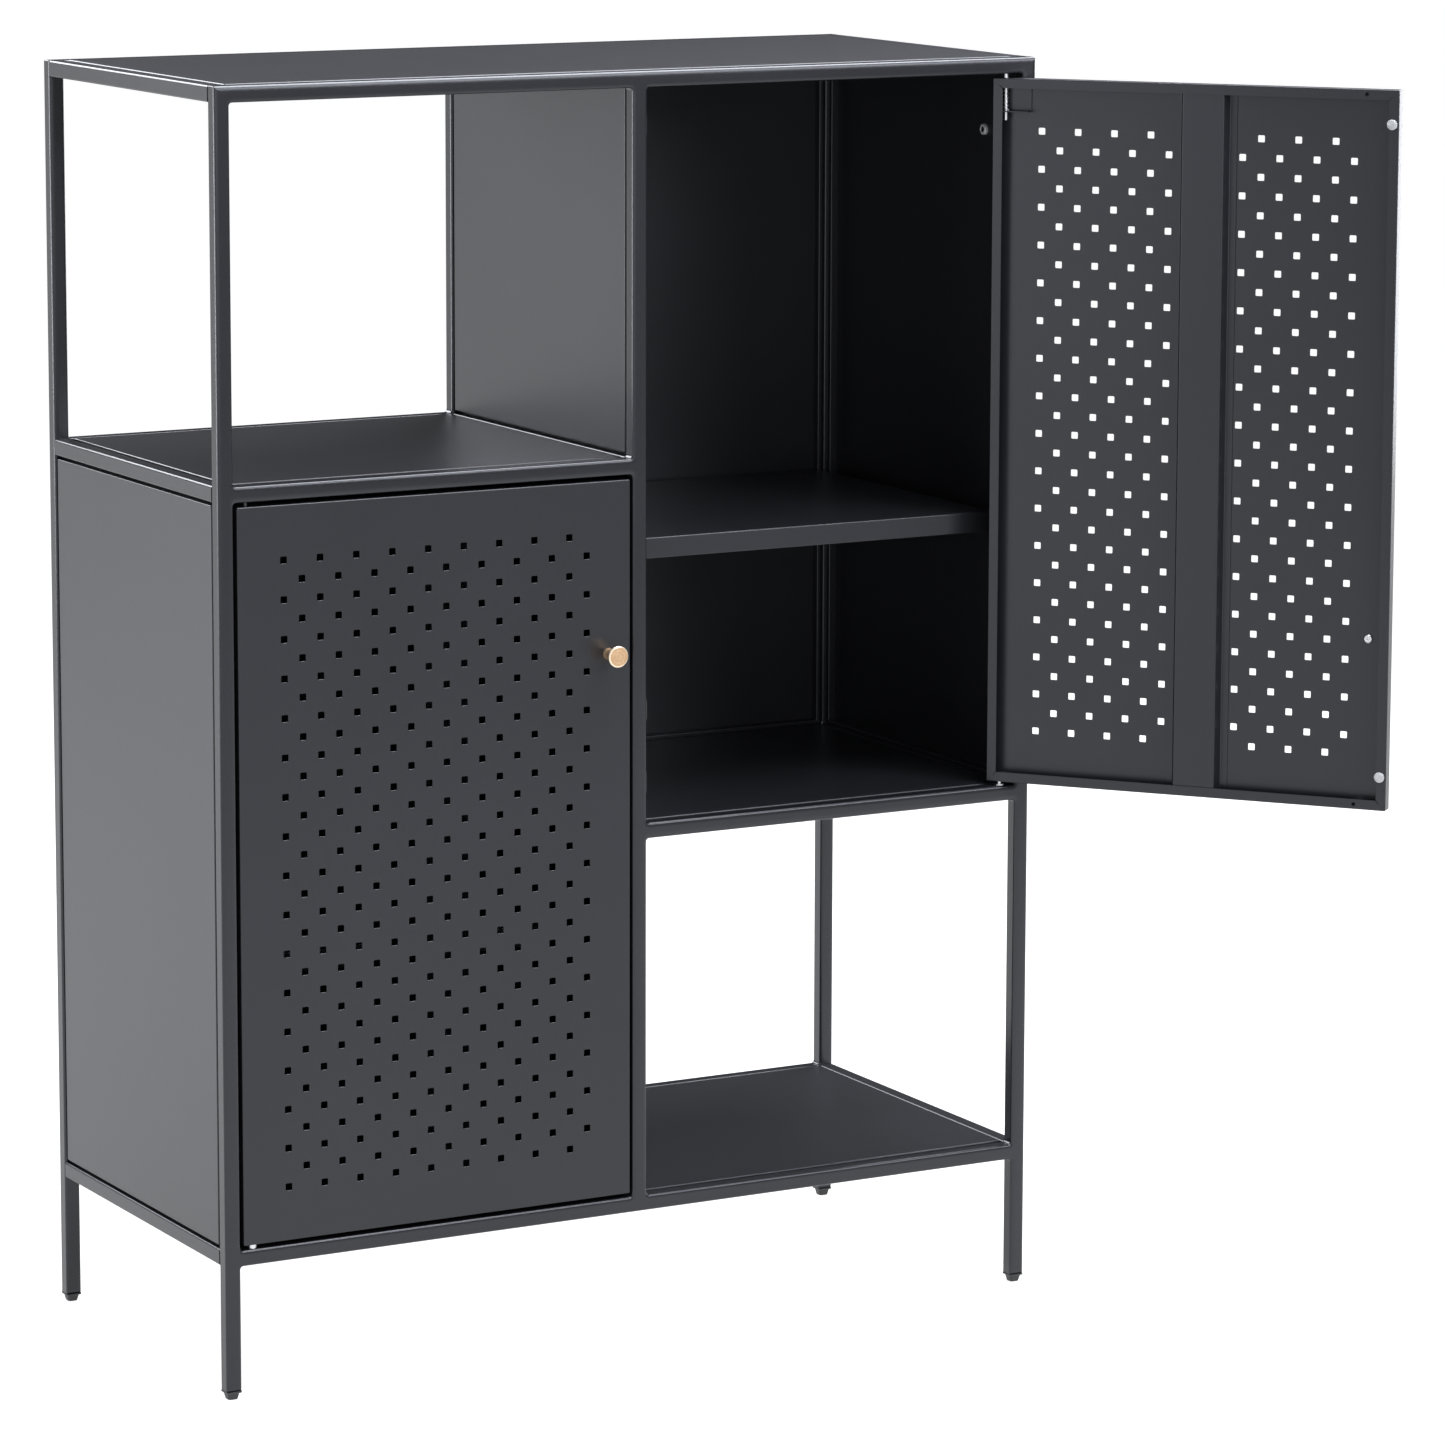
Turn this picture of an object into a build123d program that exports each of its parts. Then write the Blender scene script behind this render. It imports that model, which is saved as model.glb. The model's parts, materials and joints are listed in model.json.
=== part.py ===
# Metal sideboard cabinet: a welded square-tube frame with folded sheet panels, two open niches,
# two closed compartments and two identical perforated doors on spring-loaded pivot pins.
#
# Millimetres, +Z up. The origin is the centre of the front left foot's underside, +X runs along
# the front to the right, and +Y runs into the cabinet. The left door is closed. The right door
# stands open, and its frame is turned about its own pivot.
from build123d import *
import os

os.makedirs("parts", exist_ok=True)

# Frame
TUBE = 15.0  # outside of the square tube
TUBE_WALL = 1.2
TUBE_CORNER = 2.0  # radius of the tube's long edges
HALF = TUBE / 2
COLUMN_PITCH = 417.5  # from one post's centre line to the next
DEPTH_PITCH = 373.0  # from the front posts' centre lines to the back ones
LEFT, CENTRE, RIGHT = 0.0, COLUMN_PITCH, 2 * COLUMN_PITCH
FRONT, BACK = 0.0, DEPTH_PITCH

# Heights of the rails' top faces
BOTTOM_TOP = 139.0
RIGHT_MID_TOP = 495.0  # floor of the right compartment
LEFT_MID_TOP = 838.0  # shelf of the left niche
TOP = 1194.0

# Foot glides
GLIDE_HEIGHT = 8.0
GLIDE_PLUG = 12.4  # side of the plug inside the tube
GLIDE_PLUG_CORNER = 0.7
GLIDE_PLUG_DEPTH = 12.0
GLIDE_HEAD = 15.0  # side of the flange under the tube
GLIDE_HEAD_HEIGHT = 1.4
GLIDE_HEAD_CORNER = 2.0
GLIDE_NECK = 12.0  # side of the foot just under the flange
GLIDE_CORNER = 2.5
GLIDE_TIP = 9.0  # side of the face on the floor

# Sheet panels: a flat face, a flange folded inwards and a rim folded out to the tubes
SHEET = 0.9
GAP = 3.0  # groove between the face and the tubes
PAN_DEPTH = 9.0
PAN_RECESS = 1.0  # an upright face lies this far inside the tubes' outer plane
PAN_PROUD = 0.4  # a level face stands this far over the tubes
PAN_CORNER = 1.5

# Doors
DOOR_GAP = 3.0  # beside the door
DOOR_END_GAP = 4.0  # above and below the door
DOOR_WIDTH = COLUMN_PITCH - TUBE - 2 * DOOR_GAP
DOOR_HEIGHT = 676.0
DOOR_DEPTH = 13.0
DOOR_SHEET = 0.8
DOOR_EDGE = 0.5  # bevel around the front face
RETURN_WIDTH = 9.5  # the return flanges behind the face
PIVOT_FROM_EDGE = 11.0  # pivot axis to the hinge edge
PIVOT_FROM_FACE = 7.0  # pivot axis to the front face
OPEN_ANGLE = 129.0

# Square holes, staggered: every other place of a square grid
HOLE = 6.5
HOLE_PITCH = 18.0
HOLE_COLUMNS = 18
HOLE_ROWS = 33

# Stiffener behind the door's face
CROWN_WIDTH = 41.0
CROWN_FOOT = 47.0  # between the feet of the sloping walls
STIFFENER_WIDTH = 61.0
STIFFENER_DEPTH = 11.0
STIFFENER_COLUMN = 9

# Pivot pins
PIN_RADIUS = 2.0
PIN_CLEARANCE = 0.05
PIN_ENTRY = 5.0  # how far the sprung pin reaches into the rail's tube
BRACKET_LEG = 31.0  # door's end to the leg that the sprung pin slides in
PIN_TAIL = 8.0  # sprung pin beyond that leg
PIN_CHAMFER = 0.6
SPRING_RADIUS = 3.4
SPRING_BORE = 2.2
COLLAR_CLEARANCE = 0.2  # between the collar and the door's end flange
COLLAR_HEIGHT = 1.6
FIXED_PIN_TAIL = 6.0  # fixed pin inside the door
FIXED_PIN_HEAD = 1.5
FIXED_PIN_CLEARANCE = 0.1  # its tip to the rail's far wall, and its washer to the door

# Bracket behind the door's face. The sprung pin slides in its leg.
BRACKET_SHEET = 1.2
BRACKET_X = (-6.5, 24.0)  # its two sides, as x of the door
BRACKET_LEG_BACK = 4.5  # inner edge of the leg, as y of the door

# Knob
KNOB_FROM_EDGE = 22.8
KNOB_FROM_END = 161.0
KNOB_LENGTH = 21.0
KNOB_RADIUS = 10.0
KNOB_DISC = 3.5  # thickness of the disc
KNOB_RIM = 0.8  # bevel around the disc
KNOB_FOOT = 5.2  # radius against the door
KNOB_WAIST = 4.6  # least radius
KNOB_WAIST_HEIGHT = 5.0

# Knob screw
SCREW_RADIUS = 2.0
SCREW_HEAD_RADIUS = 4.0
SCREW_HEAD_HEIGHT = 2.2
SCREW_HEAD_CHAMFER = 0.6
SCREW_ENTRY = 12.0
SLOT_LENGTH = 4.0
SLOT_WIDTH = 0.9
SLOT_DEPTH = 1.0

# Bumpers
BUMPER_RADIUS = 5.0
BUMPER_THICKNESS = 1.9
BUMPER_CHAMFER = 0.6
BUMPER_FROM_EDGE = 6.5
BUMPER_FROM_END = 32.0

# Stop tabs and magnets behind the centre post
TAB_SHEET = 1.5
TAB_REACH = 7.5  # past the centre post's side
TAB_WELD = 4.5  # width held by the post
TAB_HEIGHT = 20.0
MAGNET_START = 0.3  # from the centre post's side
MAGNET_END = 6.8
MAGNET_HEIGHT = 18.0
MAGNET_THICKNESS = 1.8
MAGNET_FROM_END = 100.0

# Inner shelves
SHELF_HEIGHT = 260.5  # compartment floor to the shelf's top
SHELF_LIP = 20.0
SHELF_FRONT = 38.5
SHELF_BACK = 370.0
SHELF_SIDE_GAP = 1.0
SHELF_BEND = 1.2

# Brackets under the inner shelves
SHELF_BRACKET_SHEET = 1.5
SHELF_BRACKET_LENGTH = 30.0
SHELF_BRACKET_HEIGHT = 14.0
SHELF_BRACKET_ENDS = (120.0, 340.0)  # y of each bracket's back end
SHELF_HOLD = 12.0  # how far a bracket reaches under the shelf

# Pivot washers
WASHER_RADIUS = 4.5
WASHER_SHEET = 1.0

# Socket-head bolts in the walls
BOLT_HEAD_RADIUS = 5.0
BOLT_HEAD_HEIGHT = 3.0
BOLT_SOCKET = 3.0  # radius to the corners of the hexagon
BOLT_SOCKET_DEPTH = 2.1
BOLT_Y = 81.0
BOLT_FROM_END = 59.5

STRIP_CLEARANCE = 0.1  # between the top panel's flanges and the strip's ends
THROUGH = 1.0  # how far a cut runs past the surface it opens


def save(piece, name):
    """Labels a piece and writes it to its own file."""
    piece.label = name
    export_step(piece, f"parts/{name}.step")


def tube_between(start, end):
    """A square tube, open at both ends."""
    run = Vector(*end) - Vector(*start)
    with BuildPart() as tube:
        with BuildSketch(Plane(origin=start, z_dir=run.normalized())):
            RectangleRounded(TUBE, TUBE, TUBE_CORNER)
            bore = TUBE - 2 * TUBE_WALL
            RectangleRounded(bore, bore, TUBE_CORNER - TUBE_WALL, mode=Mode.SUBTRACT)
        extrude(amount=run.length)
    return tube.part


def post(x, y, bottom):
    """An upright tube that reaches the cabinet's top and is closed there."""
    with BuildPart() as upright:
        add(tube_between((x, y, bottom), (x, y, TOP)))
        with BuildSketch(Plane.XY.offset(TOP)):
            with Locations((x, y)):
                RectangleRounded(TUBE, TUBE, TUBE_CORNER)
        extrude(amount=-TUBE_WALL)
    return upright.part


def rail_x(y, top, first, last):
    """A rail along X between two posts' centre lines, with its top face at a height."""
    return tube_between((first + HALF, y, top - HALF), (last - HALF, y, top - HALF))


def rail_y(x, top):
    """A rail along Y between the front and back posts."""
    return tube_between((x, FRONT + HALF, top - HALF), (x, BACK - HALF, top - HALF))


def with_pin_hole(rail, x, face_z):
    """The rail with a pivot hole through the wall whose outer face is at face_z."""
    with BuildPart() as drilled:
        add(rail)
        with Locations((x, PIVOT_Y, face_z)):
            Cylinder(PIN_RADIUS + PIN_CLEARANCE, 2 * TUBE_WALL + THROUGH, mode=Mode.SUBTRACT)
    return drilled.part


def pan(face, width, height):
    """A folded panel that fills an opening of width by height. face is the plane of its flat face."""
    back = face.offset(-PAN_DEPTH)
    with BuildPart() as panel:
        with BuildSketch(face):
            Rectangle(width - 2 * GAP, height - 2 * GAP)
        extrude(amount=-PAN_DEPTH)
        fillet(panel.edges().filter_by(Axis((0, 0, 0), face.z_dir)), PAN_CORNER)
        with BuildSketch(back):
            Rectangle(width, height)
        extrude(amount=SHEET)
        with BuildSketch(back):
            hollow = 2 * GAP + 2 * SHEET
            RectangleRounded(width - hollow, height - hollow, PAN_CORNER - SHEET)
        extrude(amount=PAN_DEPTH - SHEET, mode=Mode.SUBTRACT)
    return panel.part


def level_pan(x_low, x_high, top):
    """A panel lying between two posts' centre lines, a little proud of the rails' tops."""
    centre = ((x_low + x_high) / 2, (FRONT + BACK) / 2, top + PAN_PROUD)
    return pan(Plane(origin=centre), x_high - x_low - TUBE, DEPTH_PITCH - TUBE)


def side_pan(x, outward, low, high):
    """A panel standing across X, with its face near the tubes' outer plane."""
    centre = (x + outward * (HALF - PAN_RECESS), (FRONT + BACK) / 2, (low + high) / 2)
    face = Plane(origin=centre, x_dir=(0, 1, 0), z_dir=(outward, 0, 0))
    return pan(face, DEPTH_PITCH - TUBE, high - low)


def back_pan(x_low, x_high, low, high):
    """A panel closing the back of a compartment."""
    centre = ((x_low + x_high) / 2, BACK + HALF - PAN_RECESS, (low + high) / 2)
    face = Plane(origin=centre, x_dir=(1, 0, 0), z_dir=(0, 1, 0))
    return pan(face, x_high - x_low - TUBE, high - low)


# ---------------------------------------------------------------- door frames
# A door's own frame has its origin on the pivot axis at the sprung pin's end of the door, x along
# the door to its free edge, y into the cabinet and z to the door's other end. The right door is
# the left door turned end for end.
PIVOT_Y = FRONT - HALF + PIVOT_FROM_FACE
LEFT_PIVOT_X = LEFT + HALF + DOOR_GAP + PIVOT_FROM_EDGE
RIGHT_PIVOT_X = RIGHT - HALF - DOOR_GAP - PIVOT_FROM_EDGE
LEFT_DOOR_LOW = BOTTOM_TOP + DOOR_END_GAP
RIGHT_DOOR_HIGH = TOP - TUBE - DOOR_END_GAP

left_frame = Plane(origin=(LEFT_PIVOT_X, PIVOT_Y, LEFT_DOOR_LOW), x_dir=(1, 0, 0), z_dir=(0, 0, 1))
open_x = Vector(-1, 0, 0).rotate(Axis.Z, OPEN_ANGLE)
right_frame = Plane(origin=(RIGHT_PIVOT_X, PIVOT_Y, RIGHT_DOOR_HIGH), x_dir=open_x, z_dir=(0, 0, -1))

HINGE_EDGE = -PIVOT_FROM_EDGE
FREE_EDGE = DOOR_WIDTH - PIVOT_FROM_EDGE
MIDDLE_X = (HINGE_EDGE + FREE_EDGE) / 2
MIDDLE_Z = DOOR_HEIGHT / 2
HOLE_FIRST_X = MIDDLE_X - (HOLE_COLUMNS - 1) / 2 * HOLE_PITCH
HOLE_FIRST_Z = MIDDLE_Z - (HOLE_ROWS - 1) / 2 * HOLE_PITCH
STIFFENER_X = HOLE_FIRST_X + STIFFENER_COLUMN * HOLE_PITCH
KNOB_X = FREE_EDGE - KNOB_FROM_EDGE
KNOB_Z = DOOR_HEIGHT - KNOB_FROM_END
BUMPER_X = FREE_EDGE - BUMPER_FROM_EDGE
INSIDE_FACE = DOOR_SHEET - PIVOT_FROM_FACE  # y of the face's inner side
COLLAR_LOW = DOOR_SHEET + COLLAR_CLEARANCE


def facing(frame, depth):
    """The plane at a depth behind the door's front face, looking out, with x and z of the door."""
    origin = frame.from_local_coords(Vector(0, depth - PIVOT_FROM_FACE, 0))
    return Plane(origin=origin, x_dir=frame.x_dir, z_dir=-frame.y_dir)


def across(frame, z):
    """The plane across the door's height at z, with x and y of the door."""
    return frame.offset(z)


def hole_places():
    """Every other place of the grid, as x and z of the door."""
    places = []
    for column in range(HOLE_COLUMNS):
        for row in range(HOLE_ROWS):
            if (column + row) % 2 == 0:
                places.append((HOLE_FIRST_X + column * HOLE_PITCH, HOLE_FIRST_Z + row * HOLE_PITCH))
    return places


def door_skin(frame):
    """The perforated face with its flanges and return flanges, folded from one sheet."""
    with BuildPart() as skin:
        with BuildSketch(facing(frame, 0)):
            with Locations((MIDDLE_X, MIDDLE_Z)):
                Rectangle(DOOR_WIDTH, DOOR_HEIGHT)
        extrude(amount=-DOOR_DEPTH)
        outside = Axis((0, 0, 0), -frame.y_dir)
        chamfer(skin.faces().sort_by(outside)[-1].edges(), DOOR_EDGE)
        with BuildSketch(facing(frame, DOOR_SHEET)):
            with Locations((MIDDLE_X, MIDDLE_Z)):
                Rectangle(DOOR_WIDTH - 2 * DOOR_SHEET, DOOR_HEIGHT - 2 * DOOR_SHEET)
        extrude(amount=-(DOOR_DEPTH - 2 * DOOR_SHEET), mode=Mode.SUBTRACT)
        with BuildSketch(facing(frame, DOOR_DEPTH)):
            with Locations((MIDDLE_X, MIDDLE_Z)):
                Rectangle(DOOR_WIDTH - 2 * RETURN_WIDTH, DOOR_HEIGHT - 2 * RETURN_WIDTH)
        extrude(amount=DOOR_SHEET, mode=Mode.SUBTRACT)
        with BuildSketch(facing(frame, 0)):
            with Locations(*hole_places()):
                Rectangle(HOLE, HOLE)
            with Locations((KNOB_X, KNOB_Z)):
                Circle(SCREW_RADIUS + PIN_CLEARANCE)
        extrude(amount=-DOOR_SHEET, mode=Mode.SUBTRACT)
        with BuildSketch(across(frame, 0)):
            Circle(PIN_RADIUS + PIN_CLEARANCE)
        extrude(amount=DOOR_HEIGHT, mode=Mode.SUBTRACT)
    return skin.part


def door_stiffener(frame):
    """A hat channel from end to end behind the face, over one column of holes."""
    inside = INSIDE_FACE
    crown = inside + STIFFENER_DEPTH
    slope = (CROWN_FOOT - CROWN_WIDTH) / 2
    brim = STIFFENER_WIDTH / 2
    with BuildPart() as hat:
        with BuildSketch(across(frame, DOOR_SHEET)):
            with BuildLine():
                Polyline(
                    (STIFFENER_X - brim, inside),
                    (STIFFENER_X - CROWN_FOOT / 2 + DOOR_SHEET, inside),
                    (STIFFENER_X - CROWN_WIDTH / 2 + DOOR_SHEET, crown - DOOR_SHEET),
                    (STIFFENER_X + CROWN_WIDTH / 2 - DOOR_SHEET, crown - DOOR_SHEET),
                    (STIFFENER_X + CROWN_FOOT / 2 - DOOR_SHEET, inside),
                    (STIFFENER_X + brim, inside),
                    (STIFFENER_X + brim, inside + DOOR_SHEET),
                    (STIFFENER_X + CROWN_FOOT / 2, inside + DOOR_SHEET),
                    (STIFFENER_X + CROWN_FOOT / 2 - slope, crown),
                    (STIFFENER_X - CROWN_FOOT / 2 + slope, crown),
                    (STIFFENER_X - CROWN_FOOT / 2, inside + DOOR_SHEET),
                    (STIFFENER_X - brim, inside + DOOR_SHEET),
                    close=True,
                )
            make_face()
        extrude(amount=DOOR_HEIGHT - 2 * DOOR_SHEET)
    return hat.part


def hinge_bracket(frame):
    """An angle welded behind the face. The sprung pin slides in its leg."""
    width = BRACKET_X[1] - BRACKET_X[0]
    middle = (BRACKET_X[0] + BRACKET_X[1]) / 2
    with BuildPart() as angle:
        with BuildSketch(across(frame, DOOR_SHEET)):
            with Locations((middle, INSIDE_FACE + BRACKET_SHEET / 2)):
                Rectangle(width, BRACKET_SHEET)
        extrude(amount=BRACKET_LEG - DOOR_SHEET)
        with BuildSketch(across(frame, BRACKET_LEG)):
            with Locations((middle, (INSIDE_FACE + BRACKET_LEG_BACK) / 2)):
                Rectangle(width, BRACKET_LEG_BACK - INSIDE_FACE)
            Circle(PIN_RADIUS + PIN_CLEARANCE, mode=Mode.SUBTRACT)
        extrude(amount=BRACKET_SHEET)
    return angle.part


def sprung_pin(frame):
    """The pin that slides back out of the rail, with the collar that its spring pushes on."""
    reach = DOOR_END_GAP + PIN_ENTRY
    with BuildPart() as pin:
        with BuildSketch(across(frame, -reach)):
            Circle(PIN_RADIUS)
        extrude(amount=reach + BRACKET_LEG + BRACKET_SHEET + PIN_TAIL)
        chamfer(pin.edges().filter_by(GeomType.CIRCLE), PIN_CHAMFER)
        with BuildSketch(across(frame, COLLAR_LOW)):
            Circle(SPRING_RADIUS)
        extrude(amount=COLLAR_HEIGHT)
    return pin.part


def pin_spring(frame):
    """The space of the coil spring between the pin's collar and the bracket's leg."""
    low = COLLAR_LOW + COLLAR_HEIGHT
    with BuildPart() as coil:
        with BuildSketch(across(frame, low)):
            Circle(SPRING_RADIUS)
            Circle(SPRING_BORE, mode=Mode.SUBTRACT)
        extrude(amount=BRACKET_LEG - low)
    return coil.part


def fixed_pin(frame):
    """The pin riveted in the door's other end, with its head inside the door."""
    end = DOOR_HEIGHT - DOOR_SHEET
    tip = DOOR_END_GAP + TUBE - TUBE_WALL - FIXED_PIN_CLEARANCE
    with BuildPart() as pin:
        with BuildSketch(across(frame, end - FIXED_PIN_TAIL)):
            Circle(PIN_RADIUS)
        extrude(amount=FIXED_PIN_TAIL + DOOR_SHEET + tip)
        chamfer(pin.edges().filter_by(GeomType.CIRCLE), PIN_CHAMFER)
        with BuildSketch(across(frame, end - FIXED_PIN_HEAD)):
            Circle(SPRING_RADIUS)
        extrude(amount=FIXED_PIN_HEAD)
    return pin.part


def knob(frame):
    """A turned knob: a slim foot that flares out to a flat disc."""
    disc_back = facing(frame, KNOB_DISC - KNOB_LENGTH)
    with BuildPart() as turned:
        with BuildSketch(facing(frame, 0)):
            with Locations((KNOB_X, KNOB_Z)):
                Circle(KNOB_FOOT)
        with BuildSketch(facing(frame, -KNOB_WAIST_HEIGHT)):
            with Locations((KNOB_X, KNOB_Z)):
                Circle(KNOB_WAIST)
        loft()
        with BuildSketch(facing(frame, -KNOB_WAIST_HEIGHT)):
            with Locations((KNOB_X, KNOB_Z)):
                Circle(KNOB_WAIST)
        with BuildSketch(disc_back):
            with Locations((KNOB_X, KNOB_Z)):
                Circle(KNOB_RADIUS)
        loft()
        with BuildSketch(disc_back):
            with Locations((KNOB_X, KNOB_Z)):
                Circle(KNOB_RADIUS)
        extrude(amount=KNOB_DISC)
        outside = Axis((0, 0, 0), -frame.y_dir)
        chamfer(turned.faces().sort_by(outside)[-1].edges(), KNOB_RIM)
        with BuildSketch(facing(frame, 0)):
            with Locations((KNOB_X, KNOB_Z)):
                Circle(SCREW_RADIUS + PIN_CLEARANCE)
        extrude(amount=SCREW_ENTRY + THROUGH, mode=Mode.SUBTRACT)
    return turned.part


def knob_screw(frame):
    """A pan-head screw from inside the door into the knob."""
    with BuildPart() as screw:
        with BuildSketch(facing(frame, DOOR_SHEET)):
            with Locations((KNOB_X, KNOB_Z)):
                Circle(SCREW_RADIUS)
        extrude(amount=DOOR_SHEET + SCREW_ENTRY)
        with BuildSketch(facing(frame, DOOR_SHEET)):
            with Locations((KNOB_X, KNOB_Z)):
                Circle(SCREW_HEAD_RADIUS)
        extrude(amount=-SCREW_HEAD_HEIGHT)
        inside = Axis((0, 0, 0), frame.y_dir)
        chamfer(screw.faces().sort_by(inside)[-1].edges(), SCREW_HEAD_CHAMFER)
        with BuildSketch(facing(frame, DOOR_SHEET + SCREW_HEAD_HEIGHT)):
            with Locations((KNOB_X, KNOB_Z)):
                Rectangle(SLOT_LENGTH, SLOT_WIDTH)
                Rectangle(SLOT_WIDTH, SLOT_LENGTH)
        extrude(amount=SLOT_DEPTH, mode=Mode.SUBTRACT)
    return screw.part


def bumper_heights():
    """Heights of the two bumpers, as z of the door."""
    return (BUMPER_FROM_END, DOOR_HEIGHT - BUMPER_FROM_END)


def door_bumpers(frame):
    """Two clear discs on the free side's return flange."""
    with BuildPart() as discs:
        with BuildSketch(facing(frame, DOOR_DEPTH)):
            with Locations(*[(BUMPER_X, z) for z in bumper_heights()]):
                Circle(BUMPER_RADIUS)
        extrude(amount=-BUMPER_THICKNESS)
        inside = Axis((0, 0, 0), frame.y_dir)
        tops = discs.faces().filter_by(inside).group_by(inside)[-1]
        chamfer(tops.edges(), BUMPER_CHAMFER)
    return discs.part


# ---------------------------------------------------------------- frame tubes
posts = {
    "post_front_left": (LEFT, FRONT),
    "post_front_right": (RIGHT, FRONT),
    "post_back_left": (LEFT, BACK),
    "post_back_right": (RIGHT, BACK),
}
for name, (x, y) in posts.items():
    save(post(x, y, GLIDE_HEIGHT), name)

for name, y in {"centre_post_front": FRONT, "centre_post_back": BACK}.items():
    save(tube_between((CENTRE, y, BOTTOM_TOP), (CENTRE, y, TOP - TUBE)), name)

# The front rails without their pivot holes
top_front = rail_x(FRONT, TOP, LEFT, RIGHT)
left_mid = rail_x(FRONT, LEFT_MID_TOP, LEFT, CENTRE)
right_mid = rail_x(FRONT, RIGHT_MID_TOP, CENTRE, RIGHT)
bottom_front = rail_x(FRONT, BOTTOM_TOP, LEFT, RIGHT)
rails = {
    "top_rail_front": with_pin_hole(top_front, RIGHT_PIVOT_X, TOP - TUBE),
    "top_rail_back": rail_x(BACK, TOP, LEFT, RIGHT),
    "top_rail_left": rail_y(LEFT, TOP),
    "top_rail_right": rail_y(RIGHT, TOP),
    "left_mid_rail_front": with_pin_hole(left_mid, LEFT_PIVOT_X, LEFT_MID_TOP - TUBE),
    "left_mid_rail_back": rail_x(BACK, LEFT_MID_TOP, LEFT, CENTRE),
    "left_mid_rail_side": rail_y(LEFT, LEFT_MID_TOP),
    "right_mid_rail_front": with_pin_hole(right_mid, RIGHT_PIVOT_X, RIGHT_MID_TOP),
    "right_mid_rail_back": rail_x(BACK, RIGHT_MID_TOP, CENTRE, RIGHT),
    "right_mid_rail_side": rail_y(RIGHT, RIGHT_MID_TOP),
    "bottom_rail_front": with_pin_hole(bottom_front, LEFT_PIVOT_X, BOTTOM_TOP),
    "bottom_rail_back": rail_x(BACK, BOTTOM_TOP, LEFT, RIGHT),
    "bottom_rail_left": rail_y(LEFT, BOTTOM_TOP),
    "bottom_rail_right": rail_y(RIGHT, BOTTOM_TOP),
}
for name, rail in rails.items():
    save(rail, name)

with BuildPart() as centre_cross_rails:
    for top in (BOTTOM_TOP, RIGHT_MID_TOP, LEFT_MID_TOP):
        add(rail_y(CENTRE, top))
save(centre_cross_rails.part, "centre_cross_rails")

# A strip under the top panel closes the space over the divider.
STRIP_TOP = TOP + PAN_PROUD - SHEET
STRIP_LOW = TOP + PAN_PROUD - PAN_DEPTH
STRIP_LENGTH = DEPTH_PITCH - TUBE - 2 * (GAP + SHEET + STRIP_CLEARANCE)
with BuildPart() as top_stiffener:
    with BuildSketch(Plane.XY.offset(STRIP_LOW)):
        with Locations((CENTRE, (FRONT + BACK) / 2)):
            Rectangle(TUBE, STRIP_LENGTH)
    extrude(amount=STRIP_TOP - STRIP_LOW)
    with BuildSketch(Plane.XY.offset(STRIP_LOW)):
        with Locations((CENTRE, (FRONT + BACK) / 2)):
            Rectangle(TUBE - 2 * SHEET, DEPTH_PITCH)
    extrude(amount=STRIP_TOP - STRIP_LOW - SHEET, mode=Mode.SUBTRACT)
save(top_stiffener.part, "top_stiffener")

# ---------------------------------------------------------------- foot glides
with BuildPart() as foot_glides:
    corners = [(LEFT, FRONT), (RIGHT, FRONT), (LEFT, BACK), (RIGHT, BACK)]
    for corner in corners:
        with BuildSketch(Plane.XY):
            with Locations(corner):
                RectangleRounded(GLIDE_TIP, GLIDE_TIP, GLIDE_CORNER)
        with BuildSketch(Plane.XY.offset(GLIDE_HEIGHT - GLIDE_HEAD_HEIGHT)):
            with Locations(corner):
                RectangleRounded(GLIDE_NECK, GLIDE_NECK, GLIDE_CORNER)
        loft()
        with BuildSketch(Plane.XY.offset(GLIDE_HEIGHT - GLIDE_HEAD_HEIGHT)):
            with Locations(corner):
                RectangleRounded(GLIDE_HEAD, GLIDE_HEAD, GLIDE_HEAD_CORNER)
        extrude(amount=GLIDE_HEAD_HEIGHT)
        with BuildSketch(Plane.XY.offset(GLIDE_HEIGHT)):
            with Locations(corner):
                RectangleRounded(GLIDE_PLUG, GLIDE_PLUG, GLIDE_PLUG_CORNER)
        extrude(amount=GLIDE_PLUG_DEPTH)
save(foot_glides.part, "foot_glides")

# ---------------------------------------------------------------- panels
LEFT_ROOM = (BOTTOM_TOP, LEFT_MID_TOP - TUBE)  # heights between the rails
RIGHT_ROOM = (RIGHT_MID_TOP, TOP - TUBE)
panels = {
    "top_panel": level_pan(LEFT, RIGHT, TOP),
    "niche_shelf_left": level_pan(LEFT, CENTRE, LEFT_MID_TOP),
    "cabinet_floor_left": level_pan(LEFT, CENTRE, BOTTOM_TOP),
    "cabinet_floor_right": level_pan(CENTRE, RIGHT, RIGHT_MID_TOP),
    "niche_shelf_right": level_pan(CENTRE, RIGHT, BOTTOM_TOP),
    "side_panel_left": side_pan(LEFT, -1, *LEFT_ROOM),
    "side_panel_right": side_pan(RIGHT, 1, *RIGHT_ROOM),
    "back_panel_left": back_pan(LEFT, CENTRE, *LEFT_ROOM),
    "back_panel_right": back_pan(CENTRE, RIGHT, *RIGHT_ROOM),
    "divider_upper": side_pan(CENTRE, -1, LEFT_MID_TOP, STRIP_LOW),
    "divider_middle": side_pan(CENTRE, 1, RIGHT_MID_TOP, LEFT_MID_TOP - TUBE),
    "divider_lower": side_pan(CENTRE, 1, BOTTOM_TOP, RIGHT_MID_TOP - TUBE),
}
for name, panel in panels.items():
    save(panel, name)

# ---------------------------------------------------------------- inner shelves
OUTER_WALL = HALF - PAN_RECESS - SHEET  # centre line of a wall to its inner surface


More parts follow.
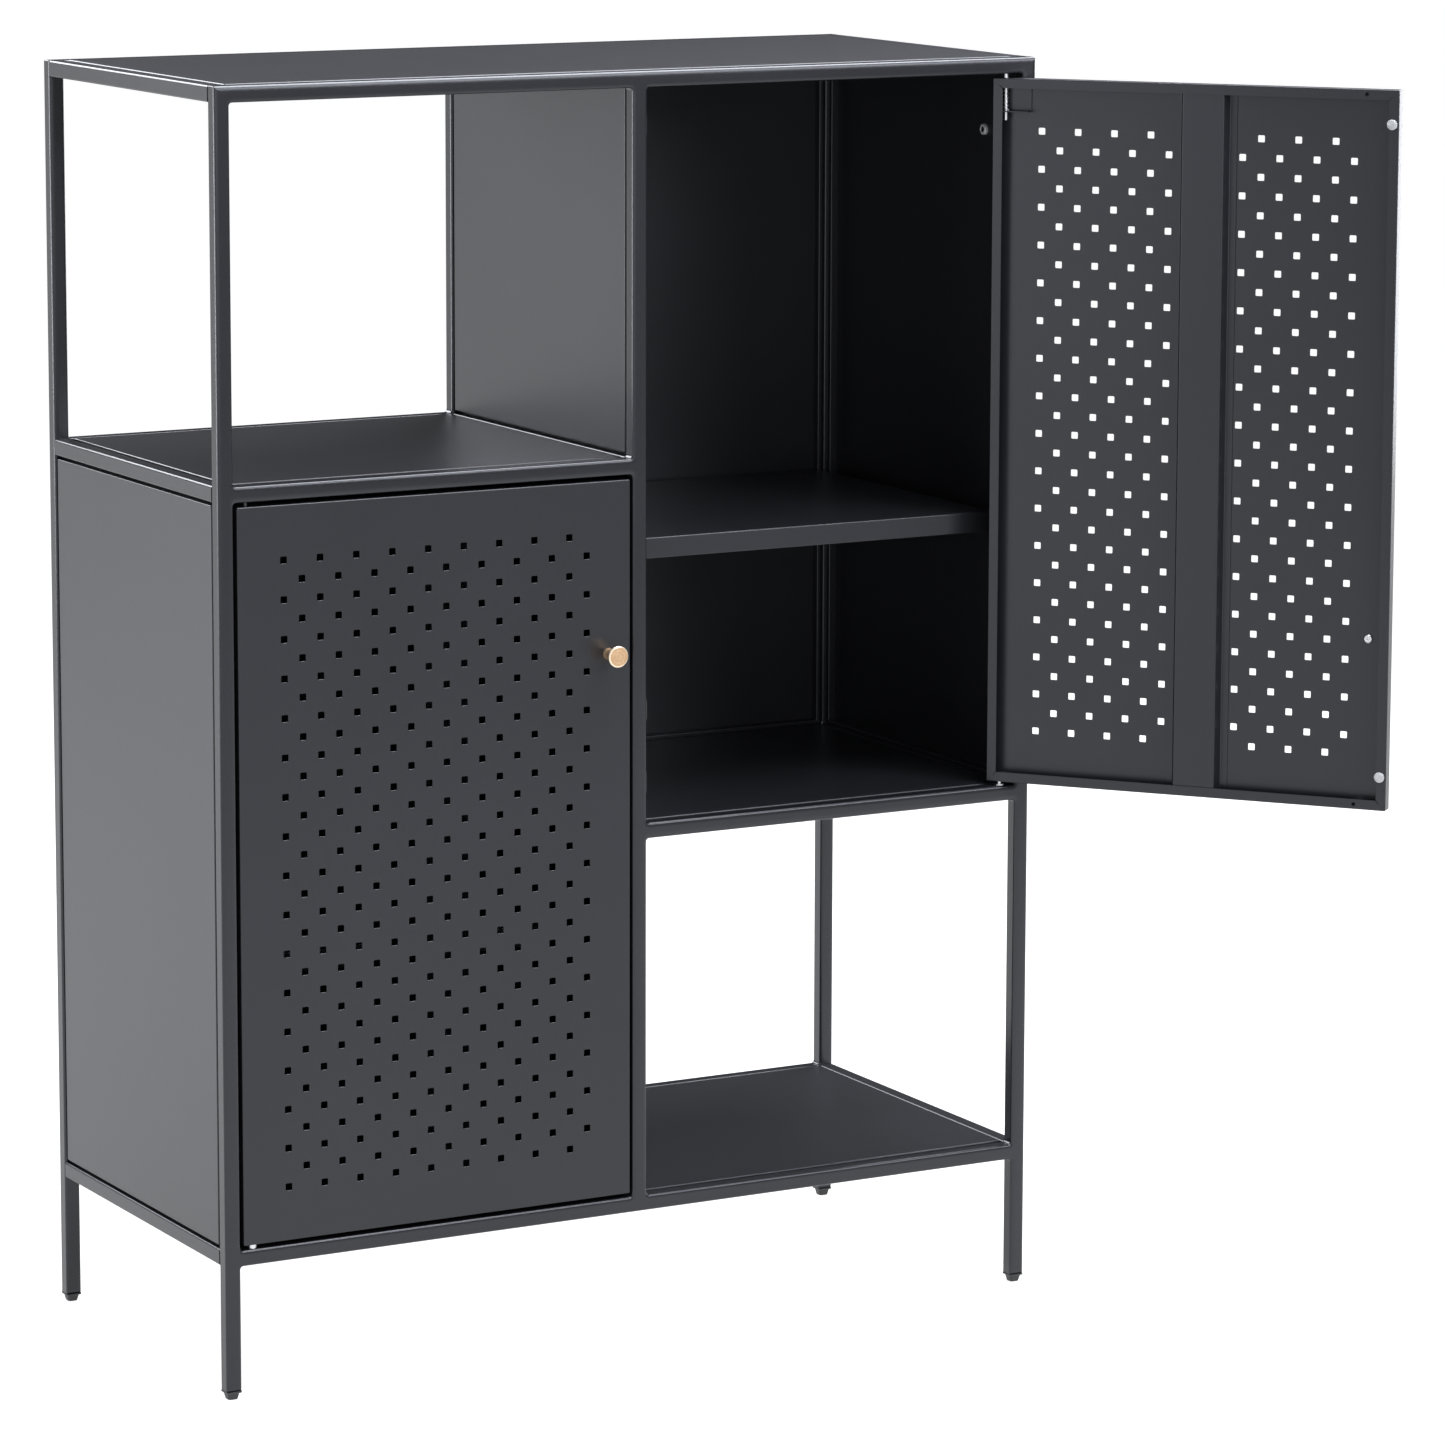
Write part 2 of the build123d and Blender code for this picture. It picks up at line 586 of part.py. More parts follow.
def inner_shelf(x_low, x_high, top):
    """A shelf with a deep front lip and shallow lips on its other three sides."""
    left, right = x_low + HALF + SHELF_SIDE_GAP, x_high - HALF - SHELF_SIDE_GAP
    middle = ((left + right) / 2, (SHELF_FRONT + SHELF_BACK) / 2)
    width, depth = right - left, SHELF_BACK - SHELF_FRONT
    with BuildPart() as shelf:
        with BuildSketch(Plane.XY.offset(top)):
            with Locations(middle):
                Rectangle(width, depth)
        extrude(amount=-SHELF_LIP)
        front_edges = shelf.faces().sort_by(Axis.Y)[0].edges().filter_by(Axis.X)
        fillet(front_edges, SHELF_BEND)
        with BuildSketch(Plane.XY.offset(top - SHEET)):
            with Locations(middle):
                Rectangle(width - 2 * SHEET, depth - 2 * SHEET)
        extrude(amount=-SHELF_LIP, mode=Mode.SUBTRACT)
    return shelf.part


def shelf_angles(walls, underside):
    """Small angles welded to two walls, under a shelf. walls are (surface x, shelf edge x)."""
    with BuildPart() as angles:
        for surface, edge in walls:
            inward = 1 if edge > surface else -1
            reach = abs(edge - surface) + SHELF_HOLD
            leg = (surface + inward * reach / 2, underside - SHELF_BRACKET_SHEET / 2)
            upright_x = surface + inward * SHELF_BRACKET_SHEET / 2
            for y in SHELF_BRACKET_ENDS:
                with BuildSketch(Plane(origin=(0, y, 0), x_dir=(1, 0, 0), z_dir=(0, -1, 0))):
                    with Locations(leg):
                        Rectangle(reach, SHELF_BRACKET_SHEET)
                    with Locations((upright_x, underside - SHELF_BRACKET_HEIGHT / 2)):
                        Rectangle(SHELF_BRACKET_SHEET, SHELF_BRACKET_HEIGHT)
                extrude(amount=SHELF_BRACKET_LENGTH)
    return angles.part


SHELF_INSET = HALF + SHELF_SIDE_GAP  # a post's centre line to the shelf's edge
shelf_rooms = {
    "left": (LEFT, CENTRE, BOTTOM_TOP + SHELF_HEIGHT),
    "right": (CENTRE, RIGHT, RIGHT_MID_TOP + SHELF_HEIGHT),
}
# The surfaces that hold the brackets are the panels' hollow backs. On the right of the dividers
# it is the middle divider's flat face.
shelf_walls = {
    "left": [
        (LEFT - OUTER_WALL, LEFT + SHELF_INSET),
        (CENTRE + OUTER_WALL, CENTRE - SHELF_INSET),
    ],
    "right": [
        (CENTRE + HALF - PAN_RECESS, CENTRE + SHELF_INSET),
        (RIGHT + OUTER_WALL, RIGHT - SHELF_INSET),
    ],
}
for side, (x_low, x_high, top) in shelf_rooms.items():
    save(inner_shelf(x_low, x_high, top), f"inner_shelf_{side}")

with BuildPart() as shelf_brackets:
    for side, (x_low, x_high, top) in shelf_rooms.items():
        add(shelf_angles(shelf_walls[side], top - SHELF_LIP))
save(shelf_brackets.part, "shelf_brackets")

# ---------------------------------------------------------------- doors
door_frames = {"left": left_frame, "right": right_frame}
door_pieces = {
    "door_skin": door_skin,
    "door_stiffener": door_stiffener,
    "hinge_bracket": hinge_bracket,
    "fixed_pin": fixed_pin,
    "sprung_pin": sprung_pin,
    "pin_spring": pin_spring,
    "knob": knob,
    "knob_screw": knob_screw,
    "door_bumpers": door_bumpers,
}
for side, frame in door_frames.items():
    for piece_name, make in door_pieces.items():
        save(make(frame), f"{piece_name}_{side}")

# ---------------------------------------------------------------- door stops and magnets
MAGNET_Z = DOOR_HEIGHT - MAGNET_FROM_END
TAB_FRONT = FRONT + HALF


def level_of(frame, z):
    """The height over the floor of a place z along a door."""
    return frame.from_local_coords(Vector(0, 0, z)).Z


def on_post(turn, depth, low_x, high_x, levels, height, thickness):
    """Small plates beside the centre post. turn is -1 for the left door and 1 for the right."""
    width = high_x - low_x
    centre_x = CENTRE + turn * (low_x + high_x) / 2
    with BuildPart() as plates:
        with BuildSketch(Plane(origin=(0, depth, 0), x_dir=(1, 0, 0), z_dir=(0, -1, 0))):
            with Locations(*[(centre_x, level) for level in levels]):
                Rectangle(width, height)
        extrude(amount=-thickness)
    return plates.part


turns = {"left": -1, "right": 1}
with BuildPart() as door_stop_tabs:
    for side, frame in door_frames.items():
        levels = [level_of(frame, z) for z in (*bumper_heights(), MAGNET_Z)]
        edges = (HALF - TAB_WELD, HALF + TAB_REACH)
        add(on_post(turns[side], TAB_FRONT, *edges, levels, TAB_HEIGHT, TAB_SHEET))
save(door_stop_tabs.part, "door_stop_tabs")

with BuildPart() as door_magnets:
    for side, frame in door_frames.items():
        levels = [level_of(frame, MAGNET_Z)]
        edges = (HALF + MAGNET_START, HALF + MAGNET_END)
        front = TAB_FRONT - MAGNET_THICKNESS
        add(on_post(turns[side], front, *edges, levels, MAGNET_HEIGHT, MAGNET_THICKNESS))
save(door_magnets.part, "door_magnets")

# ---------------------------------------------------------------- washers and bolt heads
with BuildPart() as pivot_washers:
    seats = [
        (LEFT_PIVOT_X, BOTTOM_TOP, DOOR_END_GAP - FIXED_PIN_CLEARANCE),
        (RIGHT_PIVOT_X, RIGHT_MID_TOP, WASHER_SHEET),
    ]
    for x, top, thickness in seats:
        with BuildSketch(Plane.XY.offset(top)):
            with Locations((x, PIVOT_Y)):
                Circle(WASHER_RADIUS)
                Circle(PIN_RADIUS + PIN_CLEARANCE, mode=Mode.SUBTRACT)
        extrude(amount=thickness)
save(pivot_washers.part, "pivot_washers")

with BuildPart() as wall_bolts:
    seats = [
        (LEFT - OUTER_WALL, BOTTOM_TOP + BOLT_FROM_END, 1),
        (RIGHT + OUTER_WALL, TOP - TUBE - BOLT_FROM_END, -1),
    ]
    for x, z, inward in seats:
        wall = Plane(origin=(x, BOLT_Y, z), x_dir=(0, 1, 0), z_dir=(inward, 0, 0))
        with BuildSketch(wall):
            Circle(BOLT_HEAD_RADIUS)
        extrude(amount=BOLT_HEAD_HEIGHT)
        with BuildSketch(wall.offset(BOLT_HEAD_HEIGHT)):
            RegularPolygon(BOLT_SOCKET, 6)
        extrude(amount=-BOLT_SOCKET_DEPTH, mode=Mode.SUBTRACT)
save(wall_bolts.part, "wall_bolts")
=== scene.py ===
"""Looks for the steel sideboard cabinet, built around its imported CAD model. Metres, +Z up."""

import math

import bmesh
import bpy
from mathutils import Matrix, Vector
from mathutils.geometry import delaunay_2d_cdt
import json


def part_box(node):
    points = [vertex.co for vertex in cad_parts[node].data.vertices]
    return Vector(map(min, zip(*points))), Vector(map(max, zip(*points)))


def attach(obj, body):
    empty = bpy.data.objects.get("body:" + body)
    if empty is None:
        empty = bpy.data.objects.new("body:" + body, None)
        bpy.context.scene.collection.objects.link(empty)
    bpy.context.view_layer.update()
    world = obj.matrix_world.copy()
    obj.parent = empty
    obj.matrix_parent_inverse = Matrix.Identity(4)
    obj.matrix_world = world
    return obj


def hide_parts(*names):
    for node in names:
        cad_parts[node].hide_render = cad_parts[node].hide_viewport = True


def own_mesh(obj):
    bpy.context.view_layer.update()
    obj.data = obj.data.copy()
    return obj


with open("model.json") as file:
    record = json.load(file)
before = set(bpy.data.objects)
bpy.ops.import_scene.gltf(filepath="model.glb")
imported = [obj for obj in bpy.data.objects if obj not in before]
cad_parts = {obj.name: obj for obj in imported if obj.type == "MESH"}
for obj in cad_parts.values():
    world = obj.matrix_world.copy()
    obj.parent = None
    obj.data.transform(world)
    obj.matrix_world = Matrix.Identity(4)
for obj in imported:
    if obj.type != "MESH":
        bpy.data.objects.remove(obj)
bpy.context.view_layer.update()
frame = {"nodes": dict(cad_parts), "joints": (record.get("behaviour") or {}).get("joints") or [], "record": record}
MM = 0.001
JOINTS = {joint["name"]: joint for joint in frame["joints"]}
SIDES = ("left", "right")
SMOOTH_ANGLE = math.radians(40)
UP = Vector((0, 0, 1))
INWARD = Vector((0, 1, 0))  # from the front into the cabinet

# ---------------------------------------------------------------- sizes of the tube frames, in metres
TUBE_CORNER = 2 * MM
TUBE_CORNER_STEPS = 5
CROWN_REACH = 5.5 * MM  # how far in from its edges a tube's face is slightly rounded
CROWN_DROP = 0.3 * MM
CROWN_STEPS = 4
WELD_FILLET = 3 * MM  # in the corners where rails meet posts
FILLET_STEPS = 5
OUTER_CORNER = 0.8 * MM
LEAST_OUTER_CORNER = 0.1 * MM
PIVOT_HOLE_RADIUS = 2.05 * MM
PIVOT_HOLE_REACH = 6 * MM  # how far the drill goes each way from a rail's face
GLIDE_HALF = 7.5 * MM

# ---------------------------------------------------------------- sizes of the panels
PAN_SHEET = 0.9 * MM
PAN_GAP = 3 * MM
PAN_BEND = 1.2 * MM  # outside radius around a panel's face
PAN_BEND_STEPS = 4
PAN_FOOT_BEND = 0.7 * MM  # inside radius at the bottom of the groove
PAN_FOOT_STEPS = 3
PAN_CORNER = 1.5 * MM
PAN_CORNER_STEPS = 3
LEAST_CORNER = 0.2 * MM

# ---------------------------------------------------------------- sizes of the doors
SHEET = 0.8 * MM
DOOR_DEPTH = 13 * MM
DOOR_CORNER = 1.2 * MM
DOOR_CORNER_STEPS = 4
PIVOT_FROM_EDGE = 11 * MM
PIVOT_FROM_FACE = 7 * MM
FRONT_BEND = 1.0 * MM
BACK_BEND = 0.8 * MM
INNER_BEND = 0.3 * MM
INNER_CORNER = 0.4 * MM
RETURN_WIDTH = 9.5 * MM
MITRE_END = 6.6 * MM  # how near the corner a mitre slot comes, along both edges
MITRE_HALF = 0.4 * MM
HOLE = 6.5 * MM
HOLE_CORNER = 0.9 * MM
HOLE_CORNER_STEPS = 3
HOLE_PITCH = 18 * MM
HOLE_COLUMNS = 18
HOLE_ROWS = 33
PUNCHED_EDGE = 0.15 * MM
END_HOLE_RADIUS = 1.2 * MM  # drilled through the end flange beside the sprung pin
END_HOLE_FROM_PIVOT = 12 * MM
RETURN_HOLE_RADIUS = 1.9 * MM  # drilled through the return flanges at both ends
RETURN_HOLE_FROM_FREE = 31 * MM
RETURN_HOLE_FROM_END = 4.6 * MM
DRILL_REACH = 2 * MM

# ---------------------------------------------------------------- sizes of the doors' fittings
BRACKET_SHEET = 1.2 * MM
BRACKET_BEND = 0.6 * MM  # inside radius
BRACKET_EDGE = 0.25 * MM
HAT_DEPTH = 11 * MM
HAT_BRIM = 30.5 * MM  # half widths: to the brim's edge, to the wall's foot and to its top
HAT_FOOT = 23.5 * MM
HAT_CROWN = 20.5 * MM
HAT_BEND = 1.2 * MM  # inside radius
HAT_END_GAP = 0.1 * MM
WIRE = 0.5 * MM
COIL = 2.6 * MM
COIL_TURNS = 9
CLOSED_TURNS = 1.2  # turns that lie together at each end
COIL_STEPS = 24
WIRE_STEPS = 8
BUMPER_FROM_EDGE = 6.5 * MM
BUMPER_FROM_END = 32 * MM

# Turned profiles, as (radius, along) in millimetres
BOLT_RADIUS = 5 * MM
BOLT_PROFILE = [
    (0.01, 0.0), (5.3, 0.0), (5.3, 1.9), (5.15, 2.4), (4.8, 2.75), (4.3, 2.95), (3.6, 3.0), (3.0, 2.95),
    (2.75, 2.7), (2.6, 0.9), (0.01, 0.7),
]
# painted shade: a cup of dark paint inside each bolt's socket, in place of the shade down the hole
SOCKET_SHADE_PROFILE = [(0.01, 0.95), (2.62, 0.95), (2.66, 2.72), (2.5, 2.7), (2.42, 1.05), (0.01, 1.05)]
KNOB_PROFILE = [
    (0.01, 0.0), (5.4, 0.0), (5.5, 0.3), (5.3, 0.9), (4.9, 2.2), (4.7, 4.0), (4.75, 6.0), (5.2, 8.5),
    (6.1, 11.5), (7.3, 14.3), (8.7, 16.7), (9.6, 18.2), (9.95, 18.9), (10.0, 19.3), (10.0, 20.0),
    (9.85, 20.3), (9.0, 20.9), (8.8, 21.0), (8.6, 20.9), (0.01, 20.85),
]
BUMPER_PROFILE = [
    (0.01, 0.0), (4.9, 0.0), (5.0, 0.3), (4.9, 0.8), (4.4, 1.35), (3.3, 1.7), (1.8, 1.85), (0.01, 1.9),
]
# The glides' square sections, as (half width, height) in millimetres
GLIDE_PROFILE = [
    (4.1, 0.0), (4.5, 0.15), (4.75, 0.6), (5.5, 3.6), (5.75, 4.9), (6.0, 5.6), (6.6, 6.2), (7.35, 6.5),
    (7.6, 6.7), (7.65, 7.4), (7.55, 7.9), (7.3, 8.0), (5.5, 8.02),
]
GLIDE_FLANGE_FROM = 6.3
GLIDE_FOOT_CORNER = 2.4 * MM
GLIDE_FLANGE_CORNER = 2.0 * MM
GLIDE_CORNER_STEPS = 5

# ---------------------------------------------------------------- colours
COOL_WHITE = (0.93, 0.95, 1.0)  # the studio's light, and the tint of the paint's gloss
PAINT_DARK = (0.006, 0.0061, 0.0076)
PAINT_LIGHT = (0.0105, 0.0107, 0.013)
BRASS_DARK = (0.52, 0.32, 0.17)
BRASS_LIGHT = (0.66, 0.46, 0.28)
# painted highlight: a pale brass colour that stands in for the rim's reflection
BRASS_RIM_HIGHLIGHT = (0.98, 0.82, 0.62)
BRASS_RIM_HIGHLIGHT_FROM = 8.75 * MM  # painted highlight: the disc's edge is coloured paler between these radii and beyond, in place of its reflection
BRASS_RIM_HIGHLIGHT_BY = 9.05 * MM

# ---------------------------------------------------------------- glow of the studio
FLOOR_GLOW = 0.93
FLOOR_FAR_GLOW = 0.4  # what the cabinet sees of the floor far in front
FLOOR_FAR_Y, FLOOR_NEAR_Y = -4.2, -1.0
WALL_LOW_GLOW, WALL_HIGH_GLOW = 0.02, 0.45  # what the cabinet sees of the studio around it
WALL_LOW, WALL_HIGH = 0.15, 0.75  # upward parts of the directions in which those begin


# ---------------------------------------------------------------- node helpers
def new_material(name):
    """A material cut down to one Principled shader, with its tree, its shader and object coordinates."""
    made = bpy.data.materials.new(name)
    made.use_nodes = True
    tree = made.node_tree
    tree.nodes.clear()
    out = tree.nodes.new("ShaderNodeOutputMaterial")
    shader = tree.nodes.new("ShaderNodeBsdfPrincipled")
    tree.links.new(shader.outputs["BSDF"], out.inputs["Surface"])
    return made, tree, shader, add_node(tree, "ShaderNodeTexCoord").outputs["Object"]


def add_node(tree, kind, inputs=None, **settings):
    """A node with its settings and its unlinked or linked inputs."""
    node = tree.nodes.new(kind)
    for key, value in settings.items():
        setattr(node, key, value)
    for key, value in (inputs or {}).items():
        if isinstance(value, bpy.types.NodeSocket):
            tree.links.new(value, node.inputs[key])
        else:
            node.inputs[key].default_value = value
    return node


def calculate(tree, operation, first, second, **settings):
    """A Math node's result."""
    return add_node(tree, "ShaderNodeMath", {0: first, 1: second}, operation=operation, **settings).outputs[0]


def noise(tree, place, scale, detail=2.0, roughness=0.5):
    """A noise texture's value, from 0 to 1. scale counts cells for each metre."""
    inputs = {"Vector": place, "Scale": scale, "Detail": detail, "Roughness": roughness}
    return add_node(tree, "ShaderNodeTexNoise", inputs).outputs["Fac"]


def spread(tree, value, low, high, from_low=0.3, from_high=0.7):
    """value moved from its own range to low..high."""
    inputs = {"Value": value, "From Min": from_low, "From Max": from_high, "To Min": low, "To Max": high}
    return add_node(tree, "ShaderNodeMapRange", inputs).outputs["Result"]


def two_tone(tree, value, dark, light):
    """A colour between two, chosen by value. Each of the two is a colour or a socket."""
    ends = [end if isinstance(end, bpy.types.NodeSocket) else (*end, 1) for end in (dark, light)]
    inputs = {0: value, 6: ends[0], 7: ends[1]}
    return add_node(tree, "ShaderNodeMix", inputs, data_type="RGBA").outputs[2]


def bump(tree, height, strength, distance, under=None):
    """A bumped normal, over another one if there is one."""
    inputs = {"Height": height, "Strength": strength, "Distance": distance}
    if under is not None:
        inputs["Normal"] = under
    return add_node(tree, "ShaderNodeBump", inputs).outputs["Normal"]


def link_surface(tree, shader, colour, rough, normal):
    """Links a colour, a roughness and a normal to a shader."""
    tree.links.new(colour, shader.inputs["Base Color"])
    tree.links.new(rough, shader.inputs["Roughness"])
    tree.links.new(normal, shader.inputs["Normal"])


# ---------------------------------------------------------------- materials
def powder_coat(name, rough_low, rough_high):
    """Satin powder coat: a fine grain over a soft orange peel, with faint cloudy tone."""
    made, tree, shader, place = new_material(name)
    cloud = noise(tree, place, 5, 3)
    grain = noise(tree, place, 1500, 3, 0.65)
    peel = noise(tree, place, 260, 2)
    tone = spread(tree, cloud, 0.25, 0.75)
    speck = spread(tree, grain, -0.5, 0.5)
    both = calculate(tree, "ADD", tone, speck, use_clamp=True)
    colour = two_tone(tree, both, PAINT_DARK, PAINT_LIGHT)
    soft = bump(tree, peel, 0.12, 0.3 * MM)
    normal = bump(tree, grain, 0.22, 0.08 * MM, soft)
    link_surface(tree, shader, colour, spread(tree, grain, rough_low, rough_high), normal)
    shader.inputs["Specular Tint"].default_value = (*COOL_WHITE, 1)
    return made


def plated_steel(name, dark, light, rough, metal=1.0):
    """Zinc or nickel plating with a faint blotch."""
    made, tree, shader, place = new_material(name)
    blotch = noise(tree, place, 900, 3)
    colour = two_tone(tree, blotch, dark, light)
    roughness = spread(tree, blotch, rough * 0.8, rough * 1.25)
    link_surface(tree, shader, colour, roughness, bump(tree, blotch, 0.15, 0.05 * MM))
    shader.inputs["Metallic"].default_value = metal
    return made


def turned_brass(name, centre, axis):
    """Satin brass with fine turning rings about an axis through centre, and a painted highlight: a paler colour at
    the rim and beyond.
    """
    made, tree, shader, place = new_material(name)
    local = add_node(tree, "ShaderNodeVectorMath", {0: place, 1: centre}, operation="SUBTRACT").outputs[0]
    dot = add_node(tree, "ShaderNodeVectorMath", {0: local, 1: axis}, operation="DOT_PRODUCT")
    along = dot.outputs["Value"]
    length = add_node(tree, "ShaderNodeVectorMath", {0: local}, operation="LENGTH").outputs["Value"]
    squared = calculate(tree, "POWER", length, 2.0)
    left = calculate(tree, "SUBTRACT", squared, calculate(tree, "MULTIPLY", along, along))
    radius = calculate(tree, "POWER", left, 0.5)
    ring = add_node(tree, "ShaderNodeCombineXYZ", {"X": radius, "Y": along}).outputs[0]
    marks = noise(tree, ring, 5200, 2)
    tarnish = noise(tree, place, 160, 3)
    tone = spread(tree, calculate(tree, "MULTIPLY", marks, tarnish), 0, 1, 0.12, 0.4)
    # painted highlight: the rim and beyond are coloured paler in place of their reflection
    rim_highlight = spread(tree, radius, 0, 1, BRASS_RIM_HIGHLIGHT_FROM, BRASS_RIM_HIGHLIGHT_BY)
    colour = two_tone(tree, rim_highlight, two_tone(tree, tone, BRASS_DARK, BRASS_LIGHT), BRASS_RIM_HIGHLIGHT)
    link_surface(tree, shader, colour, spread(tree, marks, 0.24, 0.38), bump(tree, marks, 0.3, 0.03 * MM))
    shader.inputs["Metallic"].default_value = 0.7
    return made


def clear_silicone(name):
    """Soft clear silicone with a faintly uneven surface."""
    made, tree, shader, place = new_material(name)
    ripple = noise(tree, place, 500, 2)
    colour = two_tone(tree, ripple, (0.78, 0.80, 0.82), (0.9, 0.91, 0.92))
    link_surface(tree, shader, colour, spread(tree, ripple, 0.06, 0.14), bump(tree, ripple, 0.35, 0.2 * MM))
    shader.inputs["Transmission Weight"].default_value = 0.6
    shader.inputs["IOR"].default_value = 1.41
    return made


def moulded_plastic(name):
    """Black moulded plastic with a fine spark-eroded grain."""
    made, tree, shader, place = new_material(name)
    grain = noise(tree, place, 1800, 3)
    colour = two_tone(tree, grain, (0.012, 0.012, 0.013), (0.022, 0.022, 0.024))
    link_surface(tree, shader, colour, spread(tree, grain, 0.45, 0.62), bump(tree, grain, 0.3, 0.08 * MM))
    return made


def pale_floor(name):
    """A plain, nearly white floor. Towards the cabinet it glows less from far in front."""
    made, tree, shader, place = new_material(name)
    cloud = noise(tree, place, 1.5, 2)
    tree.links.new(two_tone(tree, cloud, (0.20, 0.20, 0.20), (0.23, 0.23, 0.23)), shader.inputs["Base Color"])
    shader.inputs["Roughness"].default_value = 0.9
    shader.inputs["Specular IOR Level"].default_value = 0.1
    shader.inputs["Emission Color"].default_value = (1, 1, 1, 1)
    forward = add_node(tree, "ShaderNodeSeparateXYZ", {"Vector": place}).outputs["Y"]
    glow = spread(tree, forward, FLOOR_FAR_GLOW, FLOOR_GLOW, FLOOR_FAR_Y, FLOOR_NEAR_Y)
    ray = add_node(tree, "ShaderNodeLightPath").outputs["Is Camera Ray"]
    brighter = calculate(tree, "MAXIMUM", glow, spread(tree, ray, 0, FLOOR_GLOW, 0, 1))
    tree.links.new(brighter, shader.inputs["Emission Strength"])
    return made


PAINT = powder_coat("powder_coat", 0.28, 0.36)
TUBE_PAINT = powder_coat("tube_powder_coat", 0.2, 0.28)
ZINC = plated_steel("zinc_plating", (0.5, 0.5, 0.51), (0.78, 0.78, 0.8), 0.28)
PALE_ZINC = plated_steel("pale_zinc_plating", (0.5, 0.5, 0.52), (0.7, 0.7, 0.72), 0.35, 0.3)
# painted shade: a near-black zinc for the left fixed pin, which sits in shade in the hinge gap
SHADE_DARKENED_ZINC = plated_steel("shade_darkened_zinc_plating", (0.05, 0.05, 0.053), (0.1, 0.1, 0.105), 0.5)
# painted shade: the magnets' nickel is made near black so that they sink into the shade behind the posts
SHADE_DARKENED_NICKEL = plated_steel("shade_darkened_nickel_plating", (0.05, 0.049, 0.047), (0.09, 0.088, 0.085), 0.45)
SILICONE = clear_silicone("clear_silicone")
PLASTIC = moulded_plastic("glide_plastic")
SLOT_MATERIALS = {
    "powder_coat": PAINT,
    "zinc_plated_steel": ZINC,
    "magnet_nickel": SHADE_DARKENED_NICKEL,
    "clear_silicone": SILICONE,
    "glide_plastic": PLASTIC,
}


# ---------------------------------------------------------------- mesh helpers
def clean_mesh(data, merge=False):
    """Turns all normals outward, and merges doubled verts if asked."""
    made = bmesh.new()
    made.from_mesh(data)
    if merge:
        bmesh.ops.remove_doubles(made, verts=made.verts, dist=1e-7)
    bmesh.ops.recalc_face_normals(made, faces=made.faces)
    made.to_mesh(data)
    made.free()


def finish_piece(name, verts, faces, material, body, matrix=Matrix.Identity(4)):
    """A smoothly shaded mesh object in the row frame that rides on a body."""
    data = bpy.data.meshes.new(name)
    data.from_pydata([matrix @ Vector(v) for v in verts], [], faces)
    data.validate()
    clean_mesh(data, merge=True)
    data.polygons.foreach_set("use_smooth", [True] * len(data.polygons))
    data.set_sharp_from_angle(angle=SMOOTH_ANGLE)
    data.materials.append(material)
    piece = bpy.data.objects.new(name, data)
    bpy.context.scene.collection.objects.link(piece)
    level = piece.modifiers.new("flat_normals", "WEIGHTED_NORMAL")
    level.keep_sharp = True
    level.weight = 100
    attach(piece, body)
    return piece


def add_shell(verts, faces, new_verts, new_faces):
    """Adds one closed shell to lists that hold several."""
    start = len(verts)
    verts.extend(new_verts)
    faces.extend([tuple(start + i for i in face) for face in new_faces])


def bridge(faces, first, second, count):
    """Quads between two rings of verts."""
    for i in range(count):
        j = (i + 1) % count
        faces.append((first + i, first + j, second + j, second + i))


def bridge_rings(faces, rings, count):
    """Quads between rings of verts that follow one another."""
    for ring in range(rings - 1):
        bridge(faces, ring * count, (ring + 1) * count, count)


def close_ends(faces, count, last):
    """Faces over the first ring and over the one that starts at last."""
    faces.append(tuple(range(count)))
    faces.append(tuple(last + i for i in reversed(range(count))))


def lathe(profile, segments, centre, axis, side):
    """Verts and faces of a profile of (radius, along) turned about axis, closed at both ends."""
    verts, faces = [], []
    other = axis.cross(side)
    for radius, along in profile:
        for i in range(segments):
            turn = math.tau * i / segments
            spoke = side * math.cos(turn) + other * math.sin(turn)
            verts.append(centre + axis * along + spoke * radius)
    bridge_rings(faces, len(profile), segments)
    close_ends(faces, segments, (len(profile) - 1) * segments)
    return verts, faces


def turned(profile, segments, seat, axis):
    """Verts and faces of a profile in millimetres, turned about a level axis at a seat."""
    scaled = [(radius * MM, along * MM) for radius, along in profile]
    return lathe(scaled, segments, seat, axis, UP)


def prism(section, ends, place):
    """Verts and faces of a section between two ends. place(point, end) gives each vert."""
    verts = [place(point, end) for end in ends for point in section]
    faces = []
    bridge(faces, 0, len(section), len(section))
    close_ends(faces, len(section), len(section))
    return verts, faces


def arc(centre, radius, start, end, steps):
    """Points of an arc from one angle to another, in degrees."""
    points = []
    for i in range(steps + 1):
        turn = math.radians(start + (end - start) * i / steps)
        points.append((centre[0] + radius * math.cos(turn), centre[1] + radius * math.sin(turn)))
    return points


def rounded_rectangle(centre, half_wide, half_tall, radius, steps):
    """Points round a rectangle with rounded corners, from its lower right one."""
    points = []
    for dx, dy, start in ((1, -1, -90), (1, 1, 0), (-1, 1, 90), (-1, -1, 180)):
        middle = (centre[0] + dx * (half_wide - radius), centre[1] + dy * (half_tall - radius))
        points += arc(middle, radius, start, start + 90, steps)
    return points


def rounded_section(outline, radii):
    """An outline's points with its corners rounded. A radius of 0 leaves a corner sharp."""
    section = []
    for i, point in enumerate(outline):
        before, after = Vector(outline[i - 1]), Vector(outline[(i + 1) % len(outline)])
        here = Vector(point)
        if radii[i] == 0:
            section.append(here)
            continue
        back, on = (before - here).normalized(), (after - here).normalized()
        reach = radii[i] / math.tan(back.angle(on) / 2)
        start, end = here + back * reach, here + on * reach
        for share in (0, 0.25, 0.5, 0.75, 1):
            section.append(start.lerp(here, share).lerp(here.lerp(end, share), share))
    return section


def bend_turns(steps):
    """Angles from 0 to a right angle."""
    return [math.pi / 2 * i / steps for i in range(steps + 1)]


